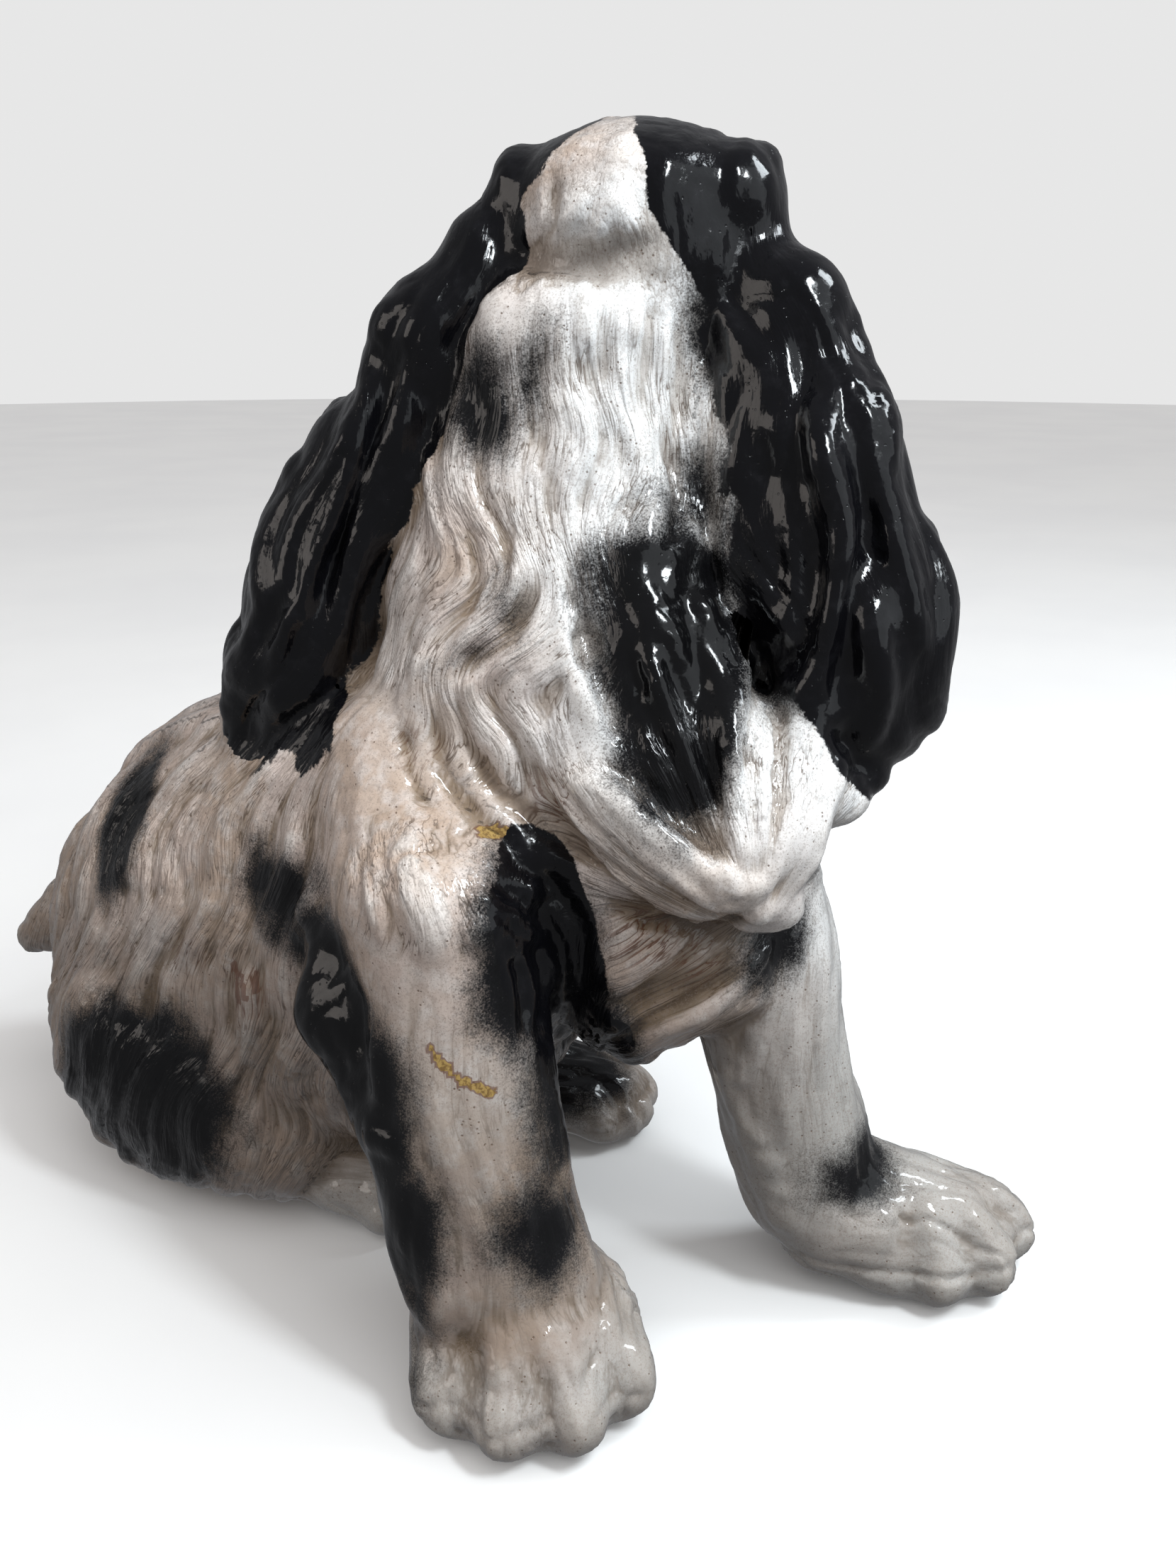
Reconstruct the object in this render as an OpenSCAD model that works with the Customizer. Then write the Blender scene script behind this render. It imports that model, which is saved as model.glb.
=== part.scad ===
// Sitting spaniel figurine in slip-cast, glazed earthenware.
// Hollow castings are luted together on coped seams and stand on four felt pads.
// Frame: +Z up, front paws towards -Y, the dog's left side towards +X, pads on z = 0.

/* [Overall] */
// Height of the dog over its pads
dog_h = 400; // [320:10:480]
// Wall of the slip-cast shells
wall = 5; // [4:0.5:7]
// Thickness of the felt pads, at whose tops the castings are trimmed flat
felt_h = 3; // [2:0.5:4]

/* [Head] */
// Turn of the head over the left shoulder
head_turn = 112; // [95:1:125]
// Upward tilt of the muzzle
head_tilt = 8; // [0:1:14]

/* [Base] */
// Radius of the felt pads
felt_r = 9; // [7:0.5:11]
// Radius of the pour hole under the trunk
pour_r = 11; // [8:0.5:14]

/* [Hidden] */
NODES = ["head_shell", "neck_shell", "chest_ruff", "trunk_shell", "ear_left", "ear_right",
    "foreleg_left", "foreleg_right", "forepaw_left", "forepaw_right", "haunch_left", "haunch_right",
    "hind_foot_left", "hind_foot_right", "tail_stub", "felt_front_left", "felt_front_right", "felt_rear_left",
    "felt_rear_right"];

k = dog_h / 400;        // every station is drawn for a 400 mm dog
sides = 19;             // corners of a casting's cross-section
outer_steps = 4;        // rings between two stations on a glazed skin
inner_steps = 2;        // and on a hollow's skin
white = "gainsboro";
black = "#202226";
felt = "#141414";

// Side vectors: across the neck and ears, and along the splayed paws
across = [0.588, -0.809, 0];
along = [0.809, 0.588, 0];

// Stations are [x, y, z, half width, half depth]
head_at = [50, -17, 360.2];
skull = [[0, 18, 0, 37, 32], [0, -2, 0, 47, 39], [0, -24, -3, 45, 37], [0, -46, -13, 32, 31],
    [0, -66, -18, 26, 26], [0, -92, -18, 24, 23]];
neck = [[20, -48, 130, 42, 38], [20, -38, 170, 58, 50], [26, -17, 212, 66, 58], [33, -4, 260, 61, 56],
    [39, -4, 307, 49, 49], [45, -8, 350, 36, 38]];
ruff = [[-18, -52, 198, 17, 17], [-5, -64, 197, 27, 27], [12, -76, 196, 31, 31], [34, -80, 202, 28, 27],
    [50, -80, 212, 20, 20]];
trunk = [[14, 240, 58, 36, 42], [14, 222, 64, 51, 59], [12, 190, 77, 65, 78], [10, 150, 92, 72, 93], [8, 105, 110, 68, 98],
    [4, 60, 134, 61, 90], [2, 18, 160, 56, 78], [4, -20, 172, 48, 58]];
ear_l = [[23, 20, 364, 14, 17], [17, 31, 334, 19, 22], [8, 49, 298, 25, 26], [-3, 70, 258, 29, 28],
    [-10, 80, 222, 27, 26], [-14, 87, 200, 18, 18]];
ear_r = [[62, -47, 366, 14, 17], [59, -58, 338, 22, 23], [56, -72, 306, 29, 26], [54, -86, 275, 32, 28],
    [54, -95, 243, 33, 27], [55, -101, 220, 24, 20]];
leg_l = [[36, -62, 184, 24, 28], [44, -74, 140, 26, 27], [48, -80, 100, 26, 26], [55, -89, 58, 25, 25],
    [60, -95, 34, 27, 26]];
leg_r = [[-44, -12, 170, 28, 32], [-52, -22, 118, 30, 28], [-55, -31, 68, 31, 27], [-53, -40, 36, 33, 26]];
paw_l = [[62, -98, 30, 27, 28], [80, -122, 23, 31, 22], [99, -148, 17, 27, 16]];
paw_r = [[-46, -32, 28, 35, 27], [-53, -47, 23, 40, 23], [-62, -63, 17, 35, 17]];
haunch_l = [[56, 176, 50, 34, 46], [64, 132, 57, 42, 58], [67, 90, 46, 35, 44], [71, 62, 33, 27, 30]];
haunch_r = [[-20, 202, 50, 34, 44], [-32, 162, 56, 42, 58], [-32, 118, 47, 38, 47], [-26, 88, 34, 29, 31]];
foot_l = [[74, 66, 22, 24, 22], [84, 38, 18, 26, 18], [92, 14, 15, 22, 15]];
foot_r = [[-18, 92, 22, 22, 22], [-14, 66, 18, 22, 18], [-8, 44, 15, 20, 15]];
tail = [[4, 242, 84, 24, 20], [-8, 262, 74, 19, 17], [-18, 276, 64, 11, 10]];
pour_at = [12, 196];
felt_at = [["felt_front_left", 82, -124], ["felt_front_right", -54, -50],
    ["felt_rear_left", 64, 138], ["felt_rear_right", -36, 172]];
footprint = [31.4, 59.3];   // middle of the dog's bounding box, the part's origin

function unit(v) = v / norm(v);
function turned(v, w) = unit(v - w * (v * w));
// Catmull-Rom value of station list s at parameter t
function station(s, t) =
    let (n = len(s) - 1, i = min(floor(t), n - 1), f = t - i,
        a = s[max(i - 1, 0)], b = s[i], c = s[i + 1], d = s[min(i + 2, n)])
    k * (b + 0.5 * f * ((c - a) + f * ((2 * a - 5 * b + 4 * c - d) + f * (3 * (b - c) + d - a))));
function spot(s) = [s[0], s[1], s[2]];
function slope(s, t) =
    unit(spot(station(s, min(t + 0.05, len(s) - 1))) - spot(station(s, max(t - 0.05, 0))));
// One ring of corners: centre c, tangent w, half sizes a and b, side vector u
function ring(c, w, a, b, u) =
    let (m = turned(u, w), n = cross(w, m))
    [for (i = [0:sides - 1]) c + m * a * cos(360 * i / sides) + n * b * sin(360 * i / sides)];
// Rings of a rounded end: way is -1 at the first station and 1 at the last
function cap(s, t, way, u, inset) =
    let (e = station(s, t), w = slope(s, t), a = e[3] - inset, b = e[4] - inset,
        deep = 0.7 * min(a, b), turns = way < 0 ? [75, 50, 25] : [25, 50, 75])
    [for (q = turns) ring(spot(e) + w * way * deep * sin(q), w, a * cos(q), b * cos(q), u)];
function rings(s, u, inset) =
    let (n = len(s) - 1, steps = inset > 0 ? inner_steps : outer_steps)
    concat(cap(s, 0, -1, u, inset),
        [for (i = [0:n * steps]) let (t = i / steps, e = station(s, t))
            ring(spot(e), slope(s, t), e[3] - inset, e[4] - inset, u)],
        cap(s, n, 1, u, inset));

// A closed, round-ended body through the stations s
module loft(s, u = [1, 0, 0], inset = 0) {
    r = rings(s, u, inset);
    m = len(r);
    points = [for (q = r) each q];
    walls = [for (j = [0:m - 2], i = [0:sides - 1])
        let (a = j * sides + i, b = j * sides + (i + 1) % sides) each
            [[a, a + sides, b], [b, a + sides, b + sides]]];
    ends = [[for (i = [0:sides - 1]) i], [for (i = [sides - 1:-1:0]) (m - 1) * sides + i]];
    polyhedron(points, concat(walls, ends));
}

module in_head()
    translate(k * head_at) rotate([0, 0, head_turn]) rotate([-head_tilt, 0, 0]) children();
module head_body(inset = 0) in_head() loft(skull, [1, 0, 0], inset);
module neck_body(inset = 0) loft(neck, across, inset);
module ruff_body() loft(ruff, [0, 0, 1]);
module trunk_body(inset = 0) loft(trunk, [1, 0, 0], inset);
module leg_l_body(inset = 0) loft(leg_l, along, inset);
module leg_r_body(inset = 0) loft(leg_r, across, inset);
module paw_l_body(inset = 0) loft(paw_l, along, inset);
module paw_r_body(inset = 0) loft(paw_r, across, inset);
module ear_l_body(inset = 0) loft(ear_l, across, inset);
module ear_r_body(inset = 0) loft(ear_r, across, inset);
module haunch_l_body(inset = 0) loft(haunch_l, [1, 0, 0], inset);
module haunch_r_body(inset = 0) loft(haunch_r, [1, 0, 0], inset);
module under() translate([-400, -400, felt_h - 200]) cube([800, 1000, 200]);

module head_shell()
    color(black)
    difference() {
        head_body();
        head_body(wall);
        neck_body(wall);
    }
module neck_shell()
    color(white)
    difference() {
        neck_body();
        neck_body(wall);
        head_body();
        trunk_body(wall);
        leg_l_body(wall);
        leg_r_body(wall);
        ear_l_body(wall);
        ear_r_body(wall);
    }
module chest_ruff()
    color(white)
    difference() {
        ruff_body();
        neck_body();
        trunk_body();
    }
module trunk_shell()
    color(white)
    difference() {
        trunk_body();
        trunk_body(wall);
        neck_body();
        leg_l_body(wall);
        leg_r_body(wall);
        haunch_l_body(wall);
        haunch_r_body(wall);
        under();
        translate([k * pour_at[0], k * pour_at[1], -1]) cylinder(h = 40, r = pour_r, $fn = 64);
    }
module ear_left()
    color(black)
    difference() {
        ear_l_body();
        ear_l_body(wall);
        head_body();
        neck_body();
        trunk_body();
    }
module ear_right()
    color(black)
    difference() {
        ear_r_body();
        ear_r_body(wall);
        head_body();
        neck_body();
        ruff_body();
    }
module foreleg_left()
    color(white)
    difference() {
        leg_l_body();
        leg_l_body(wall);
        neck_body();
        trunk_body();
        ruff_body();
        paw_l_body();
        under();
    }
module foreleg_right()
    color(white)
    difference() {
        leg_r_body();
        leg_r_body(wall);
        neck_body();
        trunk_body();
        ruff_body();
        paw_r_body();
        under();
    }
module forepaw_left()
    color(white)
    difference() {
        paw_l_body();
        paw_l_body(wall);
        leg_l_body(wall);
        under();
    }
module forepaw_right()
    color(white)
    difference() {
        paw_r_body();
        paw_r_body(wall);
        leg_r_body(wall);
        under();
    }
module haunch_left()
    color(white)
    difference() {
        haunch_l_body();
        haunch_l_body(wall);
        trunk_body();
        under();
    }
module haunch_right()
    color(black)
    difference() {
        haunch_r_body();
        haunch_r_body(wall);
        trunk_body();
        under();
    }
module hind_foot_left()
    color(white)
    difference() {
        loft(foot_l);
        haunch_l_body();
        trunk_body();
        under();
    }
module hind_foot_right()
    color(white)
    difference() {
        loft(foot_r);
        haunch_r_body();
        trunk_body();
        under();
    }
module tail_stub()
    color(white)
    difference() {
        loft(tail);
        trunk_body();
    }
module felt_pad(name)
    color(felt)
    for (f = felt_at)
        if (f[0] == name)
            translate([k * f[1], k * f[2], 0]) cylinder(h = felt_h, r = felt_r, $fn = 40);

module part(name) {
    if (name == "head_shell") head_shell();
    if (name == "neck_shell") neck_shell();
    if (name == "chest_ruff") chest_ruff();
    if (name == "trunk_shell") trunk_shell();
    if (name == "ear_left") ear_left();
    if (name == "ear_right") ear_right();
    if (name == "foreleg_left") foreleg_left();
    if (name == "foreleg_right") foreleg_right();
    if (name == "forepaw_left") forepaw_left();
    if (name == "forepaw_right") forepaw_right();
    if (name == "haunch_left") haunch_left();
    if (name == "haunch_right") haunch_right();
    if (name == "hind_foot_left") hind_foot_left();
    if (name == "hind_foot_right") hind_foot_right();
    if (name == "tail_stub") tail_stub();
    felt_pad(name);
}

for (n = NODES)
    translate([-k * footprint[0], -k * footprint[1], 0]) part(n);
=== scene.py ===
import math

import bpy
import numpy as np
import openvdb
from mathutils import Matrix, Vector


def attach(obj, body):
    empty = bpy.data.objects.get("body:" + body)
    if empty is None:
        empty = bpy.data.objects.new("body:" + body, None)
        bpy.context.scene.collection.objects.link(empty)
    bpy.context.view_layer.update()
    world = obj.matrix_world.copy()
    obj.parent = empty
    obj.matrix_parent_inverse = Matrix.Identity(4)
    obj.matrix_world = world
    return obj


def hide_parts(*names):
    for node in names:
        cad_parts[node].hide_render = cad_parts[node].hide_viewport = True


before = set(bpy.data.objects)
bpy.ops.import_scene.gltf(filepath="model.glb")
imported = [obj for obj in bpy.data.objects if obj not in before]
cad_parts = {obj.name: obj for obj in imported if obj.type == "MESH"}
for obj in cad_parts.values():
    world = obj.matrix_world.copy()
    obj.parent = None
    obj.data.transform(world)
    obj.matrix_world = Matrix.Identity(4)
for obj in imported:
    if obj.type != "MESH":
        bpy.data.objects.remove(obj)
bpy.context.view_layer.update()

# The castings are fused into one block of clay, a distance field, which is sculpted, combed and painted,
# then cut along the luting seams into one glazed piece for each casting.
# Lengths in this script are millimetres on the dog until the meshes are made, in metres.
# The dog's own frame has its mid-plane near x = 0; SHIFT moves it onto the part's origin.
SHIFT = np.array([-31.4, -59.3, 0.0])
VOXEL = 1.5      # cell of the clay's grid
BAND = 9         # cells over which distances to a casting are kept
# The front quarter, from which the dog is seen: across the view, away from the viewer, and up
ACROSS = np.array([0.588, -0.809, 0.0])
DEEP = np.array([0.809, 0.588, 0.0])
UP = np.array([0.0, 0.0, 1.0])
VIEWER = 27.5 * ACROSS - 432.5 * DEEP + 339.6 * UP
VIEW_TURN = 54   # degrees round from the front
VIEW_DIP = 19    # degrees below the level
LENS = 30.92
HEAD_AT = np.array([50.0, -17.0, 360.2])
HEAD_TURN = math.radians(112)
HEAD_TILT = math.radians(8)
POUR_AT = (12.0, 196.0)
POUR_R = 11.0
FLOOR_GAP = 3.0  # the felt pads' thickness, under the clay
NOT_HERE = -20.0  # where brushed paint stops well short
FAR_OFF = -60.0   # and sprayed paint, which has a wide edge
LIP = 2.0         # how far a piece's cut rim turns in
SEED = 7

casting_names = [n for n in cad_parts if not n.startswith("felt")]


# ---------------------------------------------------------------- small maths
def ease(low, high, x):
    """0 at low, 1 at high and smooth between, whichever is the larger."""
    t = np.clip((x - low) / (high - low), 0.0, 1.0)
    return t * t * (3.0 - 2.0 * t)


def corners(f):
    """The eight corners of a cell, each with its weight at the places f in the cell."""
    for a in (0, 1):
        for b in (0, 1):
            for c in (0, 1):
                yield a, b, c, ((f[:, 0] if a else 1 - f[:, 0]) * (f[:, 1] if b else 1 - f[:, 1])
                                * (f[:, 2] if c else 1 - f[:, 2]))


def lattice(i, j, k, seed):
    """A random number from -1 to 1 for each cell."""
    h = (i * 374761393 + j * 668265263 + k * 2147483647 + seed * 974634777) & 0xFFFFFFFF
    h = ((h ^ (h >> 13)) * 1274126177) & 0xFFFFFFFF
    return ((h ^ (h >> 16)) & 0xFFFF) / 32767.5 - 1.0


def noise(q, seed=0):
    """Smooth noise from -1 to 1 at the points q, one row each."""
    base = np.floor(q).astype(np.int64)
    f = q - base
    w = f * f * f * (f * (f * 6.0 - 15.0) + 10.0)
    total = np.zeros(len(q))
    for a, b, c, weight in corners(w):
        total += weight * lattice(base[:, 0] + a, base[:, 1] + b, base[:, 2] + c, seed)
    return total


def blend_min(a, b, k):
    """The smaller of two distances, rounded over k where they are close."""
    h = np.maximum(k - np.abs(a - b), 0.0) / k
    return np.minimum(a, b) - h * h * k * 0.25


def blend_max(a, b, k):
    return -blend_min(-a, -b, k)


# ---------------------------------------------------------------- the clay: a distance field
class Clay:
    """Signed distance to the dog's skin on a grid, negative inside."""

    def __init__(self, low, high):
        self.low = np.floor(np.array(low) / VOXEL) * VOXEL
        self.shape = tuple(int(n) for n in np.ceil((np.array(high) - self.low) / VOXEL) + 1)
        self.far = BAND * VOXEL
        self.d = np.full(self.shape, self.far, dtype=np.float32)

    def window(self, low, high):
        a = np.clip(np.floor((np.array(low) - self.low) / VOXEL).astype(int), 0, self.shape)
        b = np.clip(np.ceil((np.array(high) - self.low) / VOXEL).astype(int) + 1, 0, self.shape)
        return tuple(slice(i, j) for i, j in zip(a, b))

    def points(self, win):
        axes = [self.low[n] + VOXEL * np.arange(win[n].start, win[n].stop) for n in range(3)]
        return np.meshgrid(*axes, indexing="ij", sparse=True)

    def sample(self, field, p, start=(0, 0, 0)):
        """The field's value at each row of p; start is the field's first cell."""
        q = (p - self.low) / VOXEL - np.array(start)
        q = np.clip(q, 0.0, np.array(field.shape) - 1.001)
        i = q.astype(int)
        f = q - i
        out = 0.0
        for a, b, c, weight in corners(f):
            out = out + weight * field[i[:, 0] + a, i[:, 1] + b, i[:, 2] + c]
        return out

    def shape_in(self, win, dist, k, carve=False):
        old = self.d[win]
        new = blend_max(old, -dist, k) if carve else blend_min(old, dist, k)
        self.d[win] = new.astype(np.float32)

    def ball(self, at, radii, k=5.0, axes=None, carve=False):
        """An ellipsoid at a point; axes are its three unit directions as rows."""
        at = np.array(at, float)
        radii = np.array(radii, float)
        reach = radii.max() + k + 3
        win = self.window(at - reach, at + reach)
        x, y, z = self.points(win)
        m = np.eye(3) if axes is None else axes
        rel = [x - at[0], y - at[1], z - at[2]]
        q = [rel[0] * m[n][0] + rel[1] * m[n][1] + rel[2] * m[n][2] for n in range(3)]
        k0 = np.sqrt(sum((q[n] / radii[n]) ** 2 for n in range(3)))
        k1 = np.sqrt(sum((q[n] / radii[n] ** 2) ** 2 for n in range(3)))
        dist = k0 * (k0 - 1.0) / np.maximum(k1, 1e-6)
        self.shape_in(win, dist, k, carve)

    def tube(self, a, b, ra, rb, k=4.0, carve=False):
        """A round-ended cone from a to b."""
        a = np.array(a, float)
        b = np.array(b, float)
        reach = max(ra, rb) + k + 3
        win = self.window(np.minimum(a, b) - reach, np.maximum(a, b) + reach)
        x, y, z = self.points(win)
        ab = b - a
        t = ((x - a[0]) * ab[0] + (y - a[1]) * ab[1] + (z - a[2]) * ab[2]) / max(ab @ ab, 1e-9)
        t = np.clip(t, 0.0, 1.0)
        dist = np.sqrt((x - a[0] - t * ab[0]) ** 2 + (y - a[1] - t * ab[1]) ** 2
                       + (z - a[2] - t * ab[2]) ** 2) - (ra + (rb - ra) * t)
        self.shape_in(win, dist, k, carve)

    def blur(self, radius, passes=2):
        n = int(round(radius / VOXEL))
        for _ in range(passes):
            for axis in range(3):
                pad = [(0, 0)] * 3
                pad[axis] = (n + 1, n)
                c = np.cumsum(np.pad(self.d, pad, mode="edge"), axis=axis, dtype=np.float64)
                size = self.shape[axis]
                hi = np.take(c, range(2 * n + 1, 2 * n + 1 + size), axis=axis)
                lo = np.take(c, range(0, size), axis=axis)
                self.d = ((hi - lo) / (2 * n + 1)).astype(np.float32)


def node_mesh(name):
    """The points and triangles of a CAD node, in the dog's frame."""
    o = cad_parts[name]
    mesh = o.data
    co = np.empty(len(mesh.vertices) * 3, dtype=np.float32)
    mesh.vertices.foreach_get("co", co)
    mesh.calc_loop_triangles()
    tri = np.empty(len(mesh.loop_triangles) * 3, dtype=np.int32)
    mesh.loop_triangles.foreach_get("vertices", tri)
    return co.reshape(-1, 3).astype(np.float64) * 1000.0 - SHIFT, tri.reshape(-1, 3)


# ---------------------------------------------------------------- casting the CAD shells as one solid
def cast_solid():
    """The union of the ceramic nodes, with their hollows filled and their seams fused."""
    meshes = {name: node_mesh(name) for name in casting_names}
    margin = 14.0
    low = np.min([v.min(0) for v, _ in meshes.values()], axis=0) - margin
    high = np.max([v.max(0) for v, _ in meshes.values()], axis=0) + margin
    clay = Clay(low, high)
    skins = {}
    for name, (v, tri) in meshes.items():
        win = clay.window(v.min(0) - clay.far, v.max(0) + clay.far)
        start = np.array([s.start for s in win])
        local = (v - clay.low) / VOXEL - start
        grid = openvdb.FloatGrid.createLevelSetFromPolygons(
            local.astype(np.float32), triangles=tri.astype(np.uint32), halfWidth=float(BAND))
        block = np.empty([s.stop - s.start for s in win], dtype=np.float32)
        grid.copyToArray(block)
        block *= VOXEL
        skins[name] = (win, block)
        clay.d[win] = np.minimum(clay.d[win], block)

    # what can be reached from outside, with the pour hole stopped up
    free = clay.d > 0.5 * VOXEL
    x, y, z = clay.points(clay.window(clay.low, high))
    stopper = ((x - POUR_AT[0]) ** 2 + (y - POUR_AT[1]) ** 2 < (POUR_R + 3) ** 2) & (z > 2) & (z < 14)
    free &= ~stopper
    outside = np.zeros(clay.shape, dtype=bool)
    outside[0] = outside[-1] = True
    outside[:, 0] = outside[:, -1] = True
    outside[:, :, 0] = outside[:, :, -1] = True
    count = 0
    while True:
        for axis in range(3):
            o = np.moveaxis(outside, axis, 0)
            f = np.moveaxis(free, axis, 0)
            for n in range(1, len(o)):
                o[n] |= o[n - 1] & f[n]
            for n in range(len(o) - 2, -1, -1):
                o[n] |= o[n + 1] & f[n]
        total = int(outside.sum())
        if total == count:
            break
        count = total

    # inside, only the glazed skin counts: the hollows' own skins are filled over
    near = outside.copy()
    skin_cells = 3
    for _ in range(skin_cells):
        grown = near.copy()
        for axis in range(3):
            a = np.moveaxis(near, axis, 0)
            g = np.moveaxis(grown, axis, 0)
            g[1:] |= a[:-1]
            g[:-1] |= a[1:]
        near = grown
    depth = 3.0
    clay.d[~near] = -depth
    hollow = ~outside & (clay.d > 0.5 * VOXEL)
    clay.d[hollow] = -depth
    np.clip(clay.d, -depth, 2 * depth, out=clay.d)
    return clay, skins


# ---------------------------------------------------------------- sculpting
def head_axes():
    """The head's own left, ahead and up."""
    t, p = HEAD_TURN, HEAD_TILT
    left = np.array([math.cos(t), math.sin(t), 0.0])
    ahead = np.array([math.sin(t) * math.cos(p), -math.cos(t) * math.cos(p), math.sin(p)])
    return np.array([left, ahead, np.cross(ahead, left)])


HEAD_AXES = head_axes()


def in_head(left, ahead, up):
    """A point given in the head's own directions."""
    return HEAD_AT + left * HEAD_AXES[0] + ahead * HEAD_AXES[1] + up * HEAD_AXES[2]


def seen(across, z, deep):
    """A point given across the front quarter, up, and away from it."""
    return across * ACROSS + deep * DEEP + z * UP


def sweep(clay, places, radii, k, carve=False):
    """A chain through places given as seen(), (across, z, deep)."""
    chain(clay, [seen(*place) for place in places], radii, k, carve)


def chain(clay, points, radii, k, carve=False):
    """A run of tubes through points; radii is one number or one per point."""
    if np.isscalar(radii):
        radii = [radii] * len(points)
    for n in range(len(points) - 1):
        clay.tube(points[n], points[n + 1], radii[n], radii[n + 1], k, carve)


def facing(clay, across, z, deep):
    """The first clay met when looking through a place from where the viewer stands."""
    look = seen(across, z, deep) - VIEWER
    line = VIEWER + np.arange(0.6, 1.5, 0.001)[:, None] * look
    return line[np.argmax(clay.sample(clay.d, line) < 0.0)]


def smooth_run(places, step=4.0):
    """More places along a run, with its corners rounded."""
    places = np.array(places, float)
    gone = np.concatenate([[0.0], np.cumsum(np.linalg.norm(np.diff(places, axis=0), axis=1))])
    along = np.linspace(0.0, gone[-1], max(int(gone[-1] / step), 4) + 1)
    run = np.stack([np.interp(along, gone, places[:, n]) for n in range(places.shape[1])], axis=1)
    for _ in range(3):
        run[1:-1] = 0.25 * run[:-2] + 0.5 * run[1:-1] + 0.25 * run[2:]
    return run


def fold(clay, places, radius, rise, k=2.5, deep=-50.0):
    """Raises a ridge on the side seen, through places (across, z); a negative rise sinks a groove."""
    path = np.array([facing(clay, s, z, deep) for s, z in smooth_run(places)])
    out = slopes(clay, path)
    t = np.linspace(0.0, 1.0, len(path))
    taper = np.clip(np.minimum(0.3 + 4.0 * t, 0.3 + 4.0 * (1.0 - t)), 0.0, 1.0)
    r = radius * taper ** 0.5
    sink = rise * taper - np.sign(rise) * r
    chain(clay, path + out * sink[:, None], r, k, carve=rise < 0)


def folds(clay, rows, k=2.5, deep=-50.0):
    """A run of folds, each given as its radius, its rise and its places."""
    for radius, rise, places in rows:
        fold(clay, places, radius, rise, k, deep)


def soften(clay, spots, radius):
    """Melts the seams round each spot (point, reach)."""
    old = clay.d.copy()
    clay.blur(radius)
    weight = np.zeros(clay.shape, dtype=np.float32)
    for at, reach in spots:
        win = clay.window(np.array(at) - 1.5 * reach, np.array(at) + 1.5 * reach)
        x, y, z = clay.points(win)
        r2 = ((x - at[0]) ** 2 + (y - at[1]) ** 2 + (z - at[2]) ** 2) / reach ** 2
        weight[win] = np.maximum(weight[win], np.exp(-r2 * r2).astype(np.float32))
    clay.d = old + (clay.d - old) * weight


def sculpt_head(clay):
    def ball(l, f, u, radii, k=5.0, carve=False):
        clay.ball(in_head(l, f, u), radii, k, HEAD_AXES, carve)

    ball(0, -8, 22, (32, 28, 15), 9)
    ball(4, -37, 11, (13, 8, 10), 7)
    ball(4, -50, 4, (25, 9, 5), 6, carve=True)
    for side in (-1, 1):
        ball(side * 35, 0, 17, (12, 22, 14), 8)
        ball(side * 33, 18, -16, (12, 24, 17), 8)
        ball(side * 21, 40, 19, (14, 9, 6), 6)
        ball(side * 13, 84, -28, (13, 25, 15), 6)
        ball(side * 24, 53, 4, (10, 6, 8), 5, carve=True)
        ball(side * 22, 44, 4, (9.5, 9.5, 9.5), 1.5)
        lid = [(33, 41, 4), (30, 48, 11), (22, 54, 13), (14, 52, 6), (21, 54, -4), (30, 49, -3), (33, 41, 4)]
        chain(clay, [in_head(side * l, f, u) for l, f, u in lid], 2.4, 2.5)
        mouth = [(0, 107, -31), (12, 102, -37), (21, 84, -38), (24, 64, -33), (24, 52, -27)]
        chain(clay, [in_head(side * l, f, u) for l, f, u in mouth], 1.7, 2.0, carve=True)
    ball(0, 70, 6, (13, 34, 6), 8)
    ball(0, 86, -40, (13, 20, 7), 5)
    ball(0, 104, -6, (13, 8, 10), 2.0)
    for side in (-1, 1):
        ball(side * 5.5, 112, -6, (3.0, 4, 2.4), 1.5, carve=True)
    chain(clay, [in_head(0, 112, -12), in_head(0, 108, -31)], 1.3, 1.5, carve=True)
    chain(clay, [in_head(0, 44, 22), in_head(0, 20, 37)], 3.0, 9.0, carve=True)


def sculpt_ears(clay):
    for s, z, d, r in ((92, 342, 2, 17), (104, 297, -8, 23), (109, 250, -14, 27),
                       (-22, 338, 24, 17), (-46, 292, 36, 23), (-66, 246, 38, 27)):
        clay.ball(seen(s, z, d), (r, r * 0.85, r), 9)
    # the hanging end of the far ear
    sweep(clay, [(-84, 222, 36), (-95, 203, 39), (-98, 184, 40)], (14, 9, 4.5), 8)
    sweep(clay, [(-62, 226, 28), (-68, 208, 30)], (12, 6), 8)
    # the furrow that frees each ear from the mane
    sweep(clay, [(-10, 348, 6), (-24, 312, 0), (-34, 280, -2), (-47, 250, 4), (-54, 226, 6)],
          4.0, 8, carve=True)
    sweep(clay, [(70, 350, -14), (72, 322, -20), (75, 290, -26), (79, 258, -34), (88, 232, -42)],
          3.5, 8, carve=True)


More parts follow.
